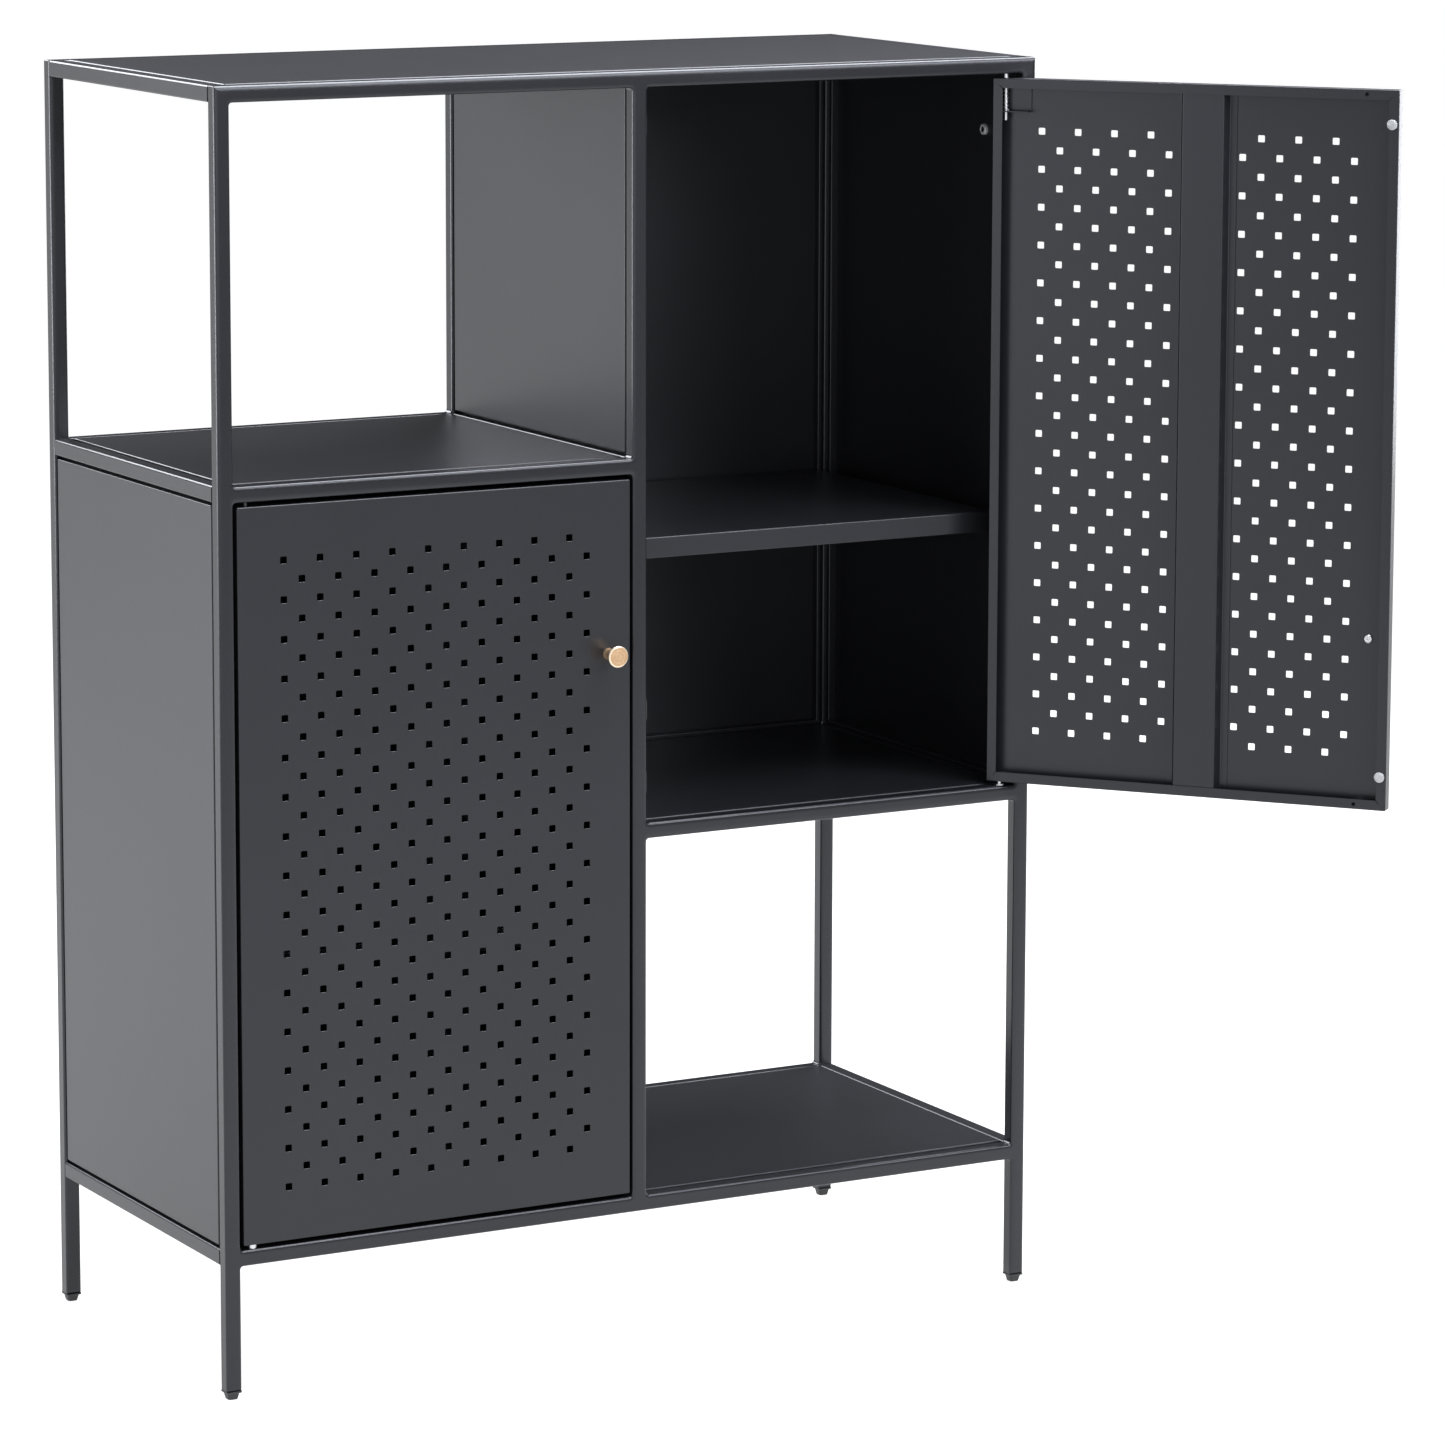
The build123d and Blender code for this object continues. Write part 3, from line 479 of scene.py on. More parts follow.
def fill_loops(loops, is_kept):
    """Triangles among flat loops whose centres are kept, as indexes into all their points in turn."""
    points, edges = [], []
    for loop in loops:
        start = len(points)
        points.extend(loop)
        edges.extend((start + i, start + (i + 1) % len(loop)) for i in range(len(loop)))
    _, _, faces, origin, _, _ = delaunay_2d_cdt(points, edges, [], 0, 1e-9)
    kept = []
    for face in faces:
        corners = [origin[i][0] for i in face]
        if is_kept(sum((points[i] for i in corners), Vector((0, 0))) / len(corners)):
            kept.append(tuple(corners))
    return kept


def cut_holes(piece, drills):
    """Drills round holes. drills hold (centre, axis, radius, half length)."""
    verts, faces = [], []
    for centre, axis, radius, reach in drills:
        side = axis.orthogonal().normalized()
        add_shell(verts, faces, *lathe([(radius, -reach), (radius, reach)], 24, centre, axis, side))
    data = bpy.data.meshes.new("drills")
    data.from_pydata(verts, [], faces)
    clean_mesh(data)
    cutter = bpy.data.objects.new("drills", data)
    bpy.context.scene.collection.objects.link(cutter)
    cut = piece.modifiers.new("drilled", "BOOLEAN")
    cut.operation = "DIFFERENCE"
    cut.solver = "EXACT"
    cut.object = cutter
    level = piece.modifiers["flat_normals"]
    level.show_viewport = False
    evaluated = piece.evaluated_get(bpy.context.evaluated_depsgraph_get())
    drilled = bpy.data.meshes.new_from_object(evaluated)
    piece.modifiers.remove(cut)
    level.show_viewport = True
    piece.data = drilled
    bpy.data.objects.remove(cutter)


# ---------------------------------------------------------------- welded frames
FRAME_NODES = ("post_{}_left", "post_{}_right", "centre_post_{}")
RAIL_NODES = ("top_rail_{}", "left_mid_rail_{}", "right_mid_rail_{}", "bottom_rail_{}")


def window_corners(x_low, x_high, z_low, z_high):
    """An opening's four corners, with fillets."""
    places = [(x_low, z_low, -1, -1), (x_high, z_low, 1, -1), (x_high, z_high, 1, 1), (x_low, z_high, -1, 1)]
    return [((x, z), (dx, dz), WELD_FILLET, True) for x, z, dx, dz in places]


def walk_corners(corners, inset):
    """A loop round a rectilinear outline. corners hold (point, into the metal, radius, concave)."""
    loop = []
    moved = [Vector(point) + Vector(into) * inset for point, into, _, _ in corners]
    for i, (_, _, radius, concave) in enumerate(corners):
        here = moved[i]
        ahead_in = (here - moved[i - 1]).normalized()
        ahead_out = (moved[(i + 1) % len(corners)] - here).normalized()
        turn_radius = radius + inset if concave else max(radius - inset, LEAST_OUTER_CORNER)
        centre = here - ahead_in * turn_radius + ahead_out * turn_radius
        for turn in bend_turns(FILLET_STEPS):
            loop.append(centre + (ahead_in * math.sin(turn) - ahead_out * math.cos(turn)) * turn_radius)
    return loop


def is_inside(point, loops):
    """Whether a point is inside an odd number of loops."""
    crossings = 0
    for loop in loops:
        for i, end in enumerate(loop):
            start = loop[i - 1]
            if (start.y > point.y) != (end.y > point.y):
                x = start.x + (point.y - start.y) * (end.x - start.x) / (end.y - start.y)
                crossings += x > point.x
    return crossings % 2 == 1


def tube_levels(near, far):
    """A tube's front outline as (inset, y) from near to far: crown, rounded edge, then the same behind."""
    levels = []
    for step in range(CROWN_STEPS):
        share = step / CROWN_STEPS
        inset = TUBE_CORNER + (CROWN_REACH - TUBE_CORNER) * (1 - share)
        levels.append((inset, near + CROWN_DROP * share ** 2))
    slope = math.atan(2 * CROWN_DROP / (CROWN_REACH - TUBE_CORNER))
    bend = TUBE_CORNER / (1 - math.sin(slope))
    for step in range(TUBE_CORNER_STEPS + 1):
        turn = slope + (math.pi / 2 - slope) * step / TUBE_CORNER_STEPS
        drop = CROWN_DROP + bend * (math.cos(slope) - math.cos(turn))
        levels.append((bend * (1 - math.sin(turn)), near + drop))
    return levels + [(inset, near + far - y) for inset, y in reversed(levels)]


def welded_frame(where):
    """A whole frame of posts and rails, welded and ground flush, as one shell with rounded edges."""
    left, right, centre = (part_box(name.format(where)) for name in FRAME_NODES)
    top, left_mid, right_mid, bottom = (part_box(name.format(where)) for name in RAIL_NODES)
    foot, head = left[0].z, left[1].z
    outer = [
        ((left[0].x, foot), (1, 1), OUTER_CORNER, False),
        ((left[1].x, foot), (-1, 1), OUTER_CORNER, False),
        ((left[1].x, bottom[0].z), (-1, 1), WELD_FILLET, True),
        ((right[0].x, bottom[0].z), (1, 1), WELD_FILLET, True),
        ((right[0].x, foot), (1, 1), OUTER_CORNER, False),
        ((right[1].x, foot), (-1, 1), OUTER_CORNER, False),
        ((right[1].x, head), (-1, -1), OUTER_CORNER, False),
        ((left[0].x, head), (1, -1), OUTER_CORNER, False),
    ]
    windows = [
        window_corners(left[1].x, centre[0].x, left_mid[1].z, top[0].z),
        window_corners(left[1].x, centre[0].x, bottom[1].z, left_mid[0].z),
        window_corners(centre[1].x, right[0].x, right_mid[1].z, top[0].z),
        window_corners(centre[1].x, right[0].x, bottom[1].z, right_mid[0].z),
    ]
    levels = tube_levels(left[0].y, left[1].y)
    verts, faces = [], []
    outlines = [outer, *windows]
    starts = []
    for inset, y in levels:
        level_starts = []
        for corners in outlines:
            level_starts.append(len(verts))
            verts.extend(Vector((p.x, y, p.y)) for p in walk_corners(corners, inset))
        starts.append(level_starts)
    for before, after in zip(starts[:-1], starts[1:]):
        for number, corners in enumerate(outlines):
            bridge(faces, before[number], after[number], (FILLET_STEPS + 1) * len(corners))
    loops = [walk_corners(corners, levels[0][0]) for corners in outlines]
    cap = fill_loops(loops, lambda point: is_inside(point, loops))
    for level_starts in (starts[0], starts[-1]):
        faces.extend(tuple(level_starts[0] + i for i in face) for face in cap)
    name = f"welded_frame_{where}"
    piece = finish_piece(name, verts, faces, TUBE_PAINT, "cabinet")
    nodes = [node.format(where) for node in FRAME_NODES + RAIL_NODES]
    if where == "front":
        left_x, left_y, _ = JOINTS["left_door_hinge"]["pos_m"]
        right_x, right_y, _ = JOINTS["right_door_hinge"]["pos_m"]
        places = [(left_x, left_y, bottom[1].z), (left_x, left_y, left_mid[0].z)]
        places += [(right_x, right_y, right_mid[1].z), (right_x, right_y, top[0].z)]
        cut_holes(piece, [(Vector(place), UP, PIVOT_HOLE_RADIUS, PIVOT_HOLE_REACH) for place in places])
    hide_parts(*nodes)


# ---------------------------------------------------------------- folded panels
PAN_FACES = {
    "top_panel": (0, 0, 1),
    "niche_shelf_left": (0, 0, 1),
    "cabinet_floor_left": (0, 0, 1),
    "cabinet_floor_right": (0, 0, 1),
    "niche_shelf_right": (0, 0, 1),
    "side_panel_left": (-1, 0, 0),
    "side_panel_right": (1, 0, 0),
    "back_panel_left": (0, 1, 0),
    "back_panel_right": (0, 1, 0),
    "divider_upper": (-1, 0, 0),
    "divider_middle": (1, 0, 0),
    "divider_lower": (1, 0, 0),
}


def pan_rings(deep):
    """A panel's section as (inset, depth) from its face, over the groove's foot and back underneath."""
    rings = []
    for turn in bend_turns(PAN_BEND_STEPS):
        rings.append((PAN_GAP + PAN_BEND * (1 - math.sin(turn)), PAN_BEND * (1 - math.cos(turn))))
    rim = deep - PAN_SHEET
    for turn in bend_turns(PAN_FOOT_STEPS):
        inset = PAN_GAP - PAN_FOOT_BEND * (1 - math.cos(turn))
        rings.append((inset, rim - PAN_FOOT_BEND * (1 - math.sin(turn))))
    rings += [(0, rim), (0, deep)]
    under = PAN_FOOT_BEND + PAN_SHEET
    for turn in reversed(bend_turns(PAN_FOOT_STEPS)):
        inset = PAN_GAP + PAN_SHEET - under * (1 - math.cos(turn))
        rings.append((inset, deep - under * (1 - math.sin(turn))))
    return rings + [(PAN_GAP + PAN_SHEET, PAN_BEND), (PAN_GAP + PAN_BEND, PAN_SHEET)]


def folded_panel(node):
    """A tray-shaped panel with rounded bends: face, flange and a rim that reaches the tubes."""
    outward = Vector(PAN_FACES[node])
    low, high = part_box(node)
    across = Vector((1, 0, 0)) if abs(outward.x) < 0.5 else Vector((0, 1, 0))
    along = outward.cross(across)
    size = high - low
    wide, tall, deep = (abs(size.dot(axis)) for axis in (across, along, outward))
    face_centre = (low + high) / 2 + outward * deep / 2
    rings = pan_rings(deep)
    verts, faces = [], []
    for inset, depth in rings:
        on_tray = inset > PAN_GAP - PAN_FOOT_BEND * 1.01  # not on the rim, whose corners are sharp
        radius = max(PAN_CORNER - (inset - PAN_GAP), LEAST_CORNER) if on_tray else LEAST_CORNER
        half_wide, half_tall = wide / 2 - inset, tall / 2 - inset
        for x, z in rounded_rectangle((0, 0), half_wide, half_tall, radius, PAN_CORNER_STEPS):
            verts.append(face_centre + across * x + along * z - outward * depth)
    count = 4 * (PAN_CORNER_STEPS + 1)
    bridge_rings(faces, len(rings), count)
    close_ends(faces, count, (len(rings) - 1) * count)
    piece = finish_piece(f"folded_{node}", verts, faces, PAINT, "cabinet")
    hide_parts(node)


# ---------------------------------------------------------------- glides and bolts
def foot_glides():
    """Four moulded glides: a flange under the tube, a neck and a tapered foot."""
    low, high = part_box("foot_glides")
    verts, faces = [], []
    count = 4 * (GLIDE_CORNER_STEPS + 1)
    last = (len(GLIDE_PROFILE) - 1) * count
    for x in (low.x + GLIDE_HALF, high.x - GLIDE_HALF):
        for y in (low.y + GLIDE_HALF, high.y - GLIDE_HALF):
            shell, quads = [], []
            for half, z in GLIDE_PROFILE:
                radius = GLIDE_FOOT_CORNER if z < GLIDE_FLANGE_FROM else GLIDE_FLANGE_CORNER
                outline = rounded_rectangle((x, y), half * MM, half * MM, radius, GLIDE_CORNER_STEPS)
                shell.extend((px, py, z * MM) for px, py in outline)
            bridge_rings(quads, len(GLIDE_PROFILE), count)
            close_ends(quads, count, last)
            add_shell(verts, faces, shell, quads)
    piece = finish_piece("moulded_glides", verts, faces, PLASTIC, "cabinet")
    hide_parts("foot_glides")


def wall_bolts():
    """Button-head bolts in the two outer walls, each with painted shade: a dark painted lining in its socket
    stands in for the shade down the hole.
    """
    low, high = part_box("wall_bolts")
    seats = [
        (Vector((low.x, low.y + BOLT_RADIUS, low.z + BOLT_RADIUS)), Vector((1, 0, 0))),
        (Vector((high.x, low.y + BOLT_RADIUS, high.z - BOLT_RADIUS)), Vector((-1, 0, 0))),
    ]
    heads, head_faces, shade_linings, shade_lining_faces = [], [], [], []
    for seat, inward in seats:
        add_shell(heads, head_faces, *turned(BOLT_PROFILE, 48, seat, inward))
        add_shell(shade_linings, shade_lining_faces, *turned(SOCKET_SHADE_PROFILE, 48, seat, inward))
    piece = finish_piece("socket_bolts", heads, head_faces, PALE_ZINC, "cabinet")
    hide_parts("wall_bolts")
    # painted shade: these dark linings stand in for the shade inside the sockets
    finish_piece("socket_shade_linings", shade_linings, shade_lining_faces, PAINT, "cabinet")


for where in ("front", "back"):
    welded_frame(where)
for node in PAN_FACES:
    folded_panel(node)
foot_glides()
wall_bolts()

# ---------------------------------------------------------------- doors
DOOR_LOW, DOOR_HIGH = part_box("door_skin_left")
DOOR_ORIGIN = Vector((*JOINTS["left_door_hinge"]["pos_m"][:2], DOOR_LOW.z))
DOOR_HEIGHT = DOOR_HIGH.z - DOOR_LOW.z
HINGE_EDGE = -PIVOT_FROM_EDGE
FREE_EDGE = DOOR_HIGH.x - DOOR_LOW.x - PIVOT_FROM_EDGE
HOLE_FIRST_X = (HINGE_EDGE + FREE_EDGE - (HOLE_COLUMNS - 1) * HOLE_PITCH) / 2
HOLE_FIRST_Z = (DOOR_HEIGHT - (HOLE_ROWS - 1) * HOLE_PITCH) / 2


def door_matrix(side):
    """From a door's own frame to the row frame. Its origin is on the pivot axis at the sprung pin's end,
    x runs to the free edge, y into the cabinet and z to the door's other end."""
    if side == "left":
        return Matrix.Translation(DOOR_ORIGIN)
    joint = JOINTS["right_door_hinge"]
    x, y, _ = joint["pos_m"]
    open_turn = Matrix.Rotation(math.radians(-joint["range_deg"][0]), 4, "Z")
    end_for_end = Matrix.Rotation(math.pi, 4, "Y")
    return Matrix.Translation((x, y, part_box("door_skin_right")[1].z)) @ open_turn @ end_for_end


def door_box(node):
    """A node's box in the left door's own frame. That door rests closed, so only its place differs."""
    low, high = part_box(node)
    return low - DOOR_ORIGIN, high - DOOR_ORIGIN


def rounded_ring(inset, depth, radius):
    """A rounded rectangle around the door, as points of the door's frame."""
    centre = ((HINGE_EDGE + FREE_EDGE) / 2, DOOR_HEIGHT / 2)
    half_wide = (FREE_EDGE - HINGE_EDGE) / 2 - inset
    outline = rounded_rectangle(centre, half_wide, DOOR_HEIGHT / 2 - inset, radius, DOOR_CORNER_STEPS)
    return [Vector((x, depth - PIVOT_FROM_FACE, z)) for x, z in outline]


def mitred_ring(depth):
    """The return flanges' inner edge, with a narrow mitre slot that runs out into each corner."""
    ring = []
    corners = [
        ((FREE_EDGE, 0), (-1, 1), True),
        ((FREE_EDGE, DOOR_HEIGHT), (-1, -1), False),
        ((HINGE_EDGE, DOOR_HEIGHT), (1, -1), True),
        ((HINGE_EDGE, 0), (1, 1), False),
    ]
    slot = [(RETURN_WIDTH + MITRE_HALF, RETURN_WIDTH), (MITRE_END + MITRE_HALF, MITRE_END)]
    for (x, z), (dx, dz), z_first in corners:
        path = slot + [(MITRE_END, MITRE_END)] + [(b, a) for a, b in reversed(slot)]
        if not z_first:
            path = [(b, a) for a, b in path]
        for along_x, along_z in path:
            ring.append(Vector((x + dx * along_x, depth - PIVOT_FROM_FACE, z + dz * along_z)))
    return ring


def door_rings():
    """Rings of the door's section: face, bends, flange, return flange and the same inside."""
    rings = [rounded_ring(FRONT_BEND, 0, DOOR_CORNER - FRONT_BEND)]
    for turn in (30, 60, 90):
        away = FRONT_BEND * (1 - math.sin(math.radians(turn)))
        deep = FRONT_BEND * (1 - math.cos(math.radians(turn)))
        rings.append(rounded_ring(away, deep, max(DOOR_CORNER - away, LEAST_CORNER)))
    for turn in (0, 30, 60, 90):
        away = BACK_BEND * (1 - math.cos(math.radians(turn)))
        deep = DOOR_DEPTH - BACK_BEND * (1 - math.sin(math.radians(turn)))
        rings.append(rounded_ring(away, deep, max(DOOR_CORNER - away, LEAST_CORNER)))
    rings += [mitred_ring(DOOR_DEPTH), mitred_ring(DOOR_DEPTH - SHEET)]
    rings.append(rounded_ring(SHEET + INNER_BEND, DOOR_DEPTH - SHEET, INNER_CORNER))
    rings.append(rounded_ring(SHEET, DOOR_DEPTH - SHEET - INNER_BEND, INNER_CORNER))
    rings.append(rounded_ring(SHEET, SHEET + INNER_BEND, INNER_CORNER))
    rings.append(rounded_ring(SHEET + INNER_BEND, SHEET, INNER_CORNER))
    return rings


def is_punched(column, row):
    """Whether a place of the grid has a hole: every other one has."""
    return 0 <= column < HOLE_COLUMNS and 0 <= row < HOLE_ROWS and (column + row) % 2 == 0


def is_sheet(point):
    """Whether a point of the face is not inside a hole."""
    column = round((point.x - HOLE_FIRST_X) / HOLE_PITCH)
    row = round((point.y - HOLE_FIRST_Z) / HOLE_PITCH)
    dx = abs(point.x - HOLE_FIRST_X - column * HOLE_PITCH)
    dz = abs(point.y - HOLE_FIRST_Z - row * HOLE_PITCH)
    return not (is_punched(column, row) and max(dx, dz) < HOLE / 2)


def hole_loops(size, corner, depth):
    """The square holes' rounded outlines at one depth."""
    grid = [(column, row) for column in range(HOLE_COLUMNS) for row in range(HOLE_ROWS)]
    loops = []
    for column, row in grid:
        if is_punched(column, row):
            place = (HOLE_FIRST_X + column * HOLE_PITCH, HOLE_FIRST_Z + row * HOLE_PITCH)
            outline = rounded_rectangle(place, size / 2, size / 2, corner, HOLE_CORNER_STEPS)
            loops.append([Vector((x, depth - PIVOT_FROM_FACE, z)) for x, z in outline])
    return loops


def door_skin(side):
    """The perforated pan: face, rounded bends, flanges and mitred return flanges, as one closed shell."""
    rings = door_rings()
    verts = [point for ring in rings for point in ring]
    faces = []
    count = len(rings[0])
    bridge_rings(faces, len(rings), count)
    front = hole_loops(HOLE + 2 * PUNCHED_EDGE, HOLE_CORNER + PUNCHED_EDGE, 0)
    edge = hole_loops(HOLE, HOLE_CORNER, PUNCHED_EDGE)
    back = hole_loops(HOLE, HOLE_CORNER, SHEET)
    loop_count = len(front[0])
    layers = []
    for loops in (front, edge, back):
        layers.append(len(verts))
        verts.extend(point for loop in loops for point in loop)
    for upper, lower in zip(layers[:-1], layers[1:]):
        for start in range(0, len(front) * loop_count, loop_count):
            bridge(faces, upper + start, lower + start, loop_count)
    for ring_index, loops, layer in ((0, front, layers[0]), (len(rings) - 1, back, layers[2])):
        start = ring_index * count
        flat = [[Vector((p.x, p.z)) for p in loop] for loop in (rings[ring_index], *loops)]
        for face in fill_loops(flat, is_sheet):
            faces.append(tuple(start + i if i < count else layer + i - count for i in face))
    matrix = door_matrix(side)
    name = f"perforated_door_{side}"
    piece = finish_piece(name, verts, faces, PAINT, f"{side}_door", matrix)
    up, inward = matrix.to_3x3() @ UP, matrix.to_3x3() @ INWARD
    drills = [(matrix @ Vector((END_HOLE_FROM_PIVOT, 0, 0)), up, END_HOLE_RADIUS, DRILL_REACH)]
    for z in (RETURN_HOLE_FROM_END, DOOR_HEIGHT - RETURN_HOLE_FROM_END):
        place = Vector((FREE_EDGE - RETURN_HOLE_FROM_FREE, DOOR_DEPTH - PIVOT_FROM_FACE, z))
        drills.append((matrix @ place, inward, RETURN_HOLE_RADIUS, DRILL_REACH))
    cut_holes(piece, drills)
    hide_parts(f"door_skin_{side}")


def hinge_bracket(side):
    """The bent angle behind the face, with softened edges and the pin's hole in its leg."""
    near, far = door_box("hinge_bracket_left")
    outline = [(near.y, near.z), (near.y, far.z), (far.y, far.z), (far.y, far.z - BRACKET_SHEET)]
    outline += [(near.y + BRACKET_SHEET, far.z - BRACKET_SHEET), (near.y + BRACKET_SHEET, near.z)]
    section = rounded_section(outline, [0, BRACKET_SHEET + BRACKET_BEND, 0, 0, BRACKET_BEND, 0])
    verts, faces = prism(section, (near.x, far.x), lambda point, x: Vector((x, point.x, point.y)))
    matrix = door_matrix(side)
    piece = finish_piece(f"bent_bracket_{side}", verts, faces, PAINT, f"{side}_door", matrix)
    seat = matrix @ Vector((0, 0, far.z - BRACKET_SHEET / 2))
    cut_holes(piece, [(seat, matrix.to_3x3() @ UP, PIVOT_HOLE_RADIUS, DRILL_REACH)])
    soft = piece.modifiers.new("soft_edges", "BEVEL")
    soft.width = BRACKET_EDGE
    soft.segments = 2
    soft.limit_method = "ANGLE"
    soft.angle_limit = SMOOTH_ANGLE
    piece.modifiers.move(len(piece.modifiers) - 1, 0)
    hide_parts(f"hinge_bracket_{side}")


def door_stiffener(side):
    """The hat channel with its real bend radii."""
    near, far = door_box("door_stiffener_left")
    centre, base = (near.x + far.x) / 2, SHEET - PIVOT_FROM_FACE
    outline = [(HAT_BRIM, 0), (HAT_FOOT - SHEET, 0), (HAT_CROWN - SHEET, HAT_DEPTH - SHEET)]
    outline += [(-x, y) for x, y in reversed(outline)]
    over = [(-HAT_BRIM, SHEET), (-HAT_FOOT, SHEET), (-HAT_CROWN, HAT_DEPTH)]
    outline += over + [(-x, y) for x, y in reversed(over)]
    tight, wide = HAT_BEND, HAT_BEND + SHEET
    section = rounded_section(outline, [0, wide, tight, tight, wide, 0, 0, tight, wide, wide, tight, 0])
    ends = (SHEET + HAT_END_GAP, DOOR_HEIGHT - SHEET - HAT_END_GAP)
    verts, faces = prism(section, ends, lambda point, z: Vector((centre + point.x, base + point.y, z)))
    matrix = door_matrix(side)
    piece = finish_piece(f"hat_stiffener_{side}", verts, faces, PAINT, f"{side}_door", matrix)
    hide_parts(f"door_stiffener_{side}")


def coil_rise(turn, length):
    """How far up a spring's wire has come after a number of turns."""
    if turn < CLOSED_TURNS:
        return 2 * WIRE * turn
    if turn > COIL_TURNS - CLOSED_TURNS:
        return length - 2 * WIRE * (COIL_TURNS - turn)
    share = (turn - CLOSED_TURNS) / (COIL_TURNS - 2 * CLOSED_TURNS)
    return 2 * WIRE * CLOSED_TURNS + share * (length - 4 * WIRE * CLOSED_TURNS)


def pin_spring(side):
    """The coil spring round the sprung pin, closed at both ends."""
    near, far = door_box("pin_spring_left")
    start, end = near.z, far.z
    verts, faces = [], []
    rings = COIL_TURNS * COIL_STEPS + 1
    for ring in range(rings):
        turn = ring / COIL_STEPS
        spoke = Vector((math.cos(math.tau * turn), math.sin(math.tau * turn), 0))
        centre = spoke * COIL + UP * (start + WIRE + coil_rise(turn, end - start - 2 * WIRE))
        for i in range(WIRE_STEPS):
            bite = math.tau * i / WIRE_STEPS
            verts.append(centre + spoke * WIRE * math.cos(bite) + UP * WIRE * math.sin(bite))
    bridge_rings(faces, rings, WIRE_STEPS)
    close_ends(faces, WIRE_STEPS, (rings - 1) * WIRE_STEPS)
    matrix = door_matrix(side)
    body = f"{side}_sprung_pin"
    piece = finish_piece(f"coil_spring_{side}", verts, faces, ZINC, body, matrix)
    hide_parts(f"pin_spring_{side}")
    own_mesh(piece)


def knob(side):
    """The turned brass knob: a slim foot that flares to a disc with a softened rim."""
    matrix = door_matrix(side)
    near, far = door_box("knob_left")
    outward = (matrix.to_3x3() @ -INWARD).normalized()
    seat = matrix @ Vector(((near.x + far.x) / 2, -PIVOT_FROM_FACE, (near.z + far.z) / 2))
    verts, faces = turned(KNOB_PROFILE, 64, seat, outward)
    brass = turned_brass(f"turned_brass_{side}", seat, outward)
    piece = finish_piece(f"turned_knob_{side}", verts, faces, brass, f"{side}_door")
    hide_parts(f"knob_{side}")


def bumpers(side):
    """Two domed silicone discs on the free side's return flange."""
    matrix = door_matrix(side)
    inward = (matrix.to_3x3() @ INWARD).normalized()
    verts, faces = [], []
    for z in (BUMPER_FROM_END, DOOR_HEIGHT - BUMPER_FROM_END):
        seat = matrix @ Vector((FREE_EDGE - BUMPER_FROM_EDGE, DOOR_DEPTH - PIVOT_FROM_FACE, z))
        add_shell(verts, faces, *turned(BUMPER_PROFILE, 32, seat, inward))
    piece = finish_piece(f"silicone_bumpers_{side}", verts, faces, SILICONE, f"{side}_door")
    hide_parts(f"door_bumpers_{side}")


for side in SIDES:
    door_skin(side)
    door_stiffener(side)
    hinge_bracket(side)
    pin_spring(side)
    knob(side)
    bumpers(side)

# ---------------------------------------------------------------- CAD nodes that stay
slot_of = {part["node"]: part["material_slot"] for part in frame["record"]["subparts"]}
for name, node in frame["nodes"].items():
    if node.hide_render:
        continue
    node.data.materials.clear()
    # painted shade: the left fixed pin takes the darkened zinc in place of the shade it sits in
    node.data.materials.append(SHADE_DARKENED_ZINC if name == "fixed_pin_left" else SLOT_MATERIALS[slot_of[name]])


# ---------------------------------------------------------------- floor, light and camera
FLOOR_REACH = 60.0
LIGHTS = (
    # name, place, what it is turned to, width and height, watts
    ("overhead", (1.4, -0.1, 3.3), (0.6, 0.1, 0.8), (3.8, 1.5), 270),
    ("back_high", (-0.5, 3.3, 2.6), (0.1, 0.2, 0.9), (2.4, 1.8), 130),
    ("back_left", (-4.2, 3.2, 0.8), (0.1, 0.2, 0.5), (2.2, 1.5), 170),
    ("far_left", (-4.6, -0.6, 1.3), (0.5, 0.0, 0.7), (2.4, 2.4), 60),
    ("right", (3.6, 1.4, 1.4), (0.8, 0.0, 0.8), (1.6, 2.0), 60),
    ("front_high", (2.8, -4.2, 2.6), (0.5, 0.0, 0.8), (3.2, 1.6), 150),
    ("front_wide", (-1.5, -6.0, 2.2), (0.5, 0.0, 0.7), (6.0, 4.0), 130),
)
CAMERA_PLACE = (-2.152, -4.792, 1.574)
CAMERA_TURNS = (29.04, -8.87, -0.16)  # yaw, pitch and roll in degrees
CAMERA_LENS = 148.2
CAMERA_SHIFT = -0.1


def make_floor():
    """A large pale floor under the glides."""
    data = bpy.data.meshes.new("floor")
    corners = ((-1, -1), (1, -1), (1, 1), (-1, 1))
    data.from_pydata([(x * FLOOR_REACH, y * FLOOR_REACH, 0) for x, y in corners], [], [(0, 1, 2, 3)])
    data.materials.append(pale_floor("pale_floor"))
    floor = bpy.data.objects.new("floor", data)
    bpy.context.scene.collection.objects.link(floor)


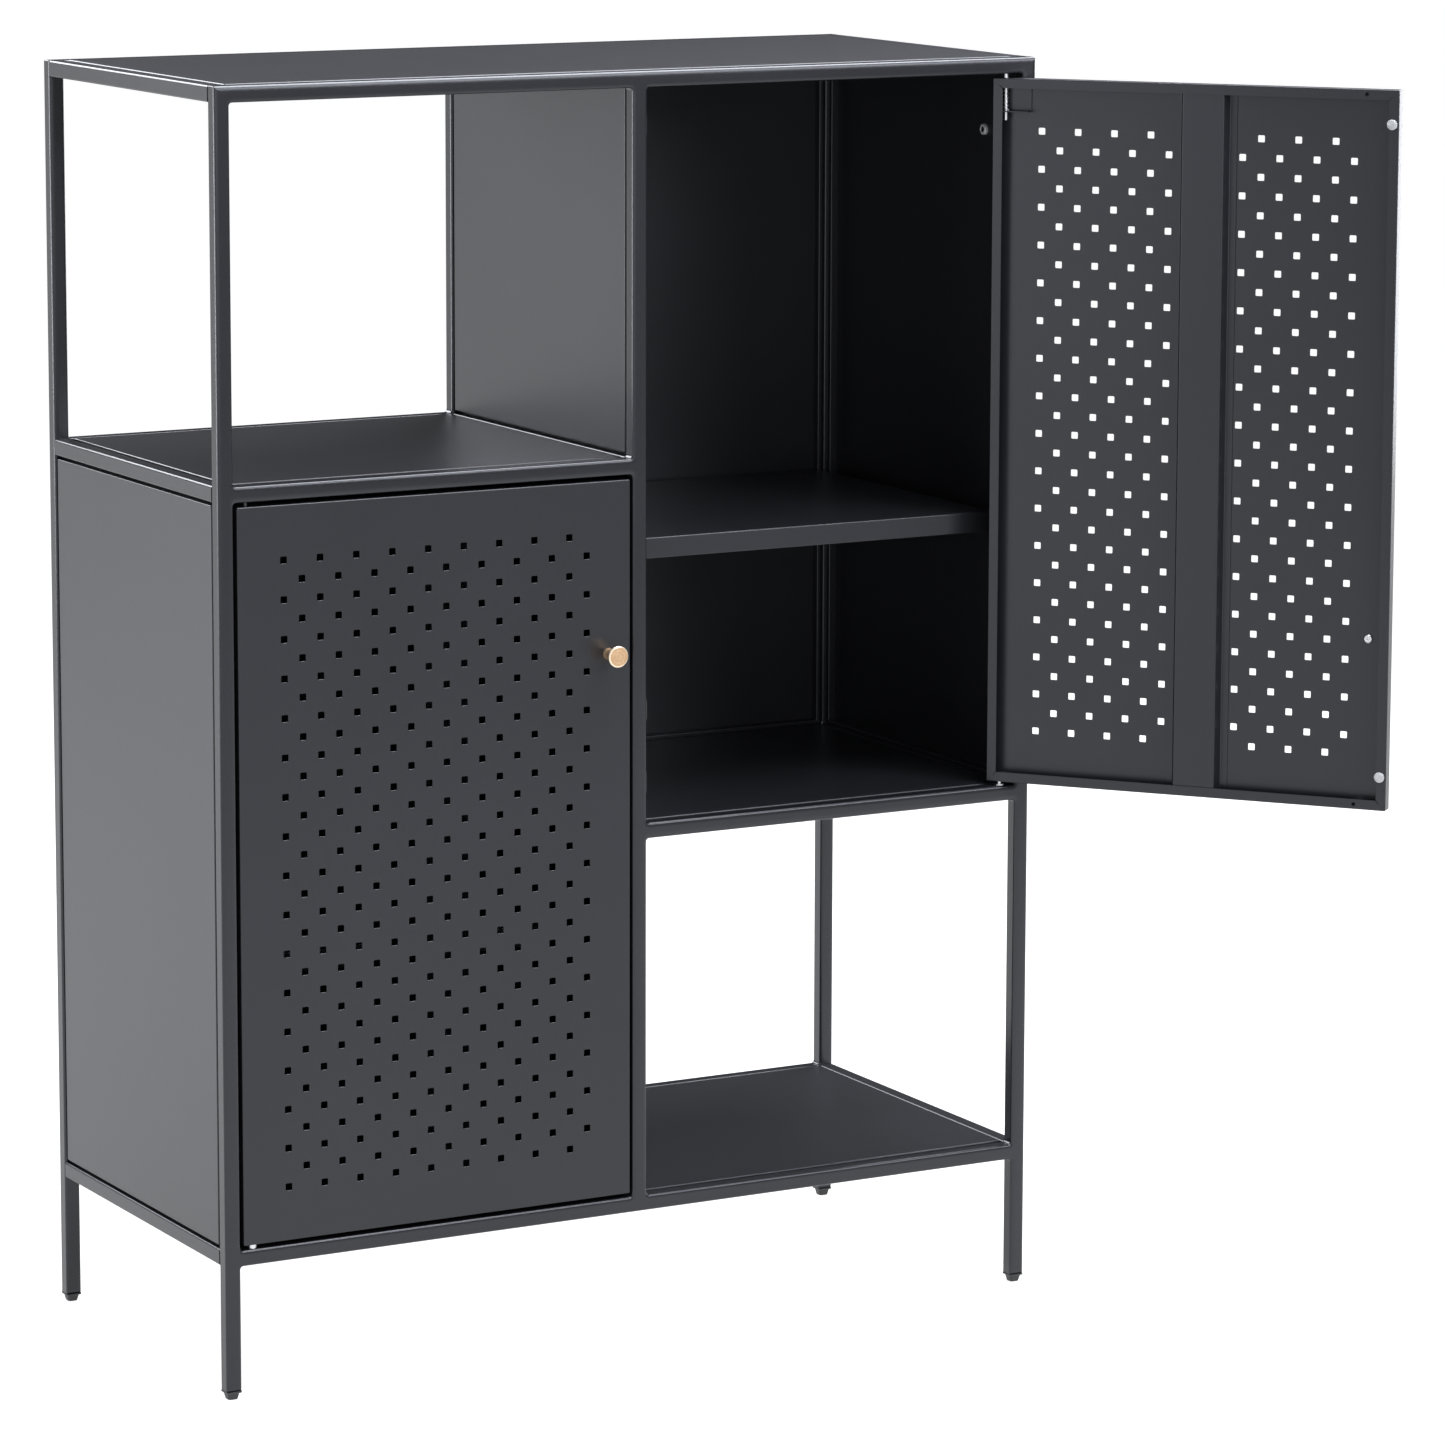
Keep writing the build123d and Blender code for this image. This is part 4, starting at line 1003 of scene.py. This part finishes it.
def area_light(name, place, target, size, power):
    """A soft rectangular light."""
    data = bpy.data.lights.new(name, "AREA")
    data.shape = "RECTANGLE"
    data.size, data.size_y = size
    data.energy = power
    data.color = COOL_WHITE
    light = bpy.data.objects.new(name, data)
    light.location = place
    light.rotation_mode = "QUATERNION"
    light.rotation_quaternion = (Vector(target) - Vector(place)).to_track_quat("-Z", "Y")
    light.visible_camera = False
    bpy.context.scene.collection.objects.link(light)


def make_world():
    """A white studio. The camera sees it plain, and the cabinet sees it dark low down and light above."""
    world = bpy.data.worlds.new("studio")
    bpy.context.scene.world = world
    world.use_nodes = True
    tree = world.node_tree
    tree.nodes.clear()
    plain = add_node(tree, "ShaderNodeBackground", {"Color": (1, 1, 1, 1), "Strength": 1.0})
    toward = add_node(tree, "ShaderNodeTexCoord").outputs["Generated"]
    height = add_node(tree, "ShaderNodeSeparateXYZ", {"Vector": toward}).outputs["Z"]
    glow = spread(tree, height, WALL_LOW_GLOW, WALL_HIGH_GLOW, WALL_LOW, WALL_HIGH)
    soft = add_node(tree, "ShaderNodeBackground", {"Color": (*COOL_WHITE, 1), "Strength": glow})
    seen = add_node(tree, "ShaderNodeLightPath").outputs["Is Camera Ray"]
    mix = add_node(tree, "ShaderNodeMixShader", {0: seen, 1: soft.outputs[0], 2: plain.outputs[0]})
    add_node(tree, "ShaderNodeOutputWorld", {"Surface": mix.outputs[0]})


def make_camera():
    """A long lens at the photograph's viewing angle."""
    yaw, pitch, roll = (math.radians(turn) for turn in CAMERA_TURNS)
    ahead = Vector((math.sin(yaw) * math.cos(pitch), math.cos(yaw) * math.cos(pitch), math.sin(pitch)))
    data = bpy.data.cameras.new("camera")
    data.sensor_width = 36
    data.lens = CAMERA_LENS
    data.shift_y = CAMERA_SHIFT
    data.clip_end = 200
    camera = bpy.data.objects.new("camera", data)
    camera.location = CAMERA_PLACE
    camera.rotation_mode = "QUATERNION"
    turn = ahead.to_track_quat("-Z", "Y")
    camera.rotation_quaternion = turn @ Matrix.Rotation(-roll, 3, "Z").to_quaternion()
    bpy.context.scene.collection.objects.link(camera)
    bpy.context.scene.camera = camera


make_floor()
make_world()
for light in LIGHTS:
    area_light(*light)
make_camera()
bpy.context.scene.view_settings.view_transform = "Standard"

import json
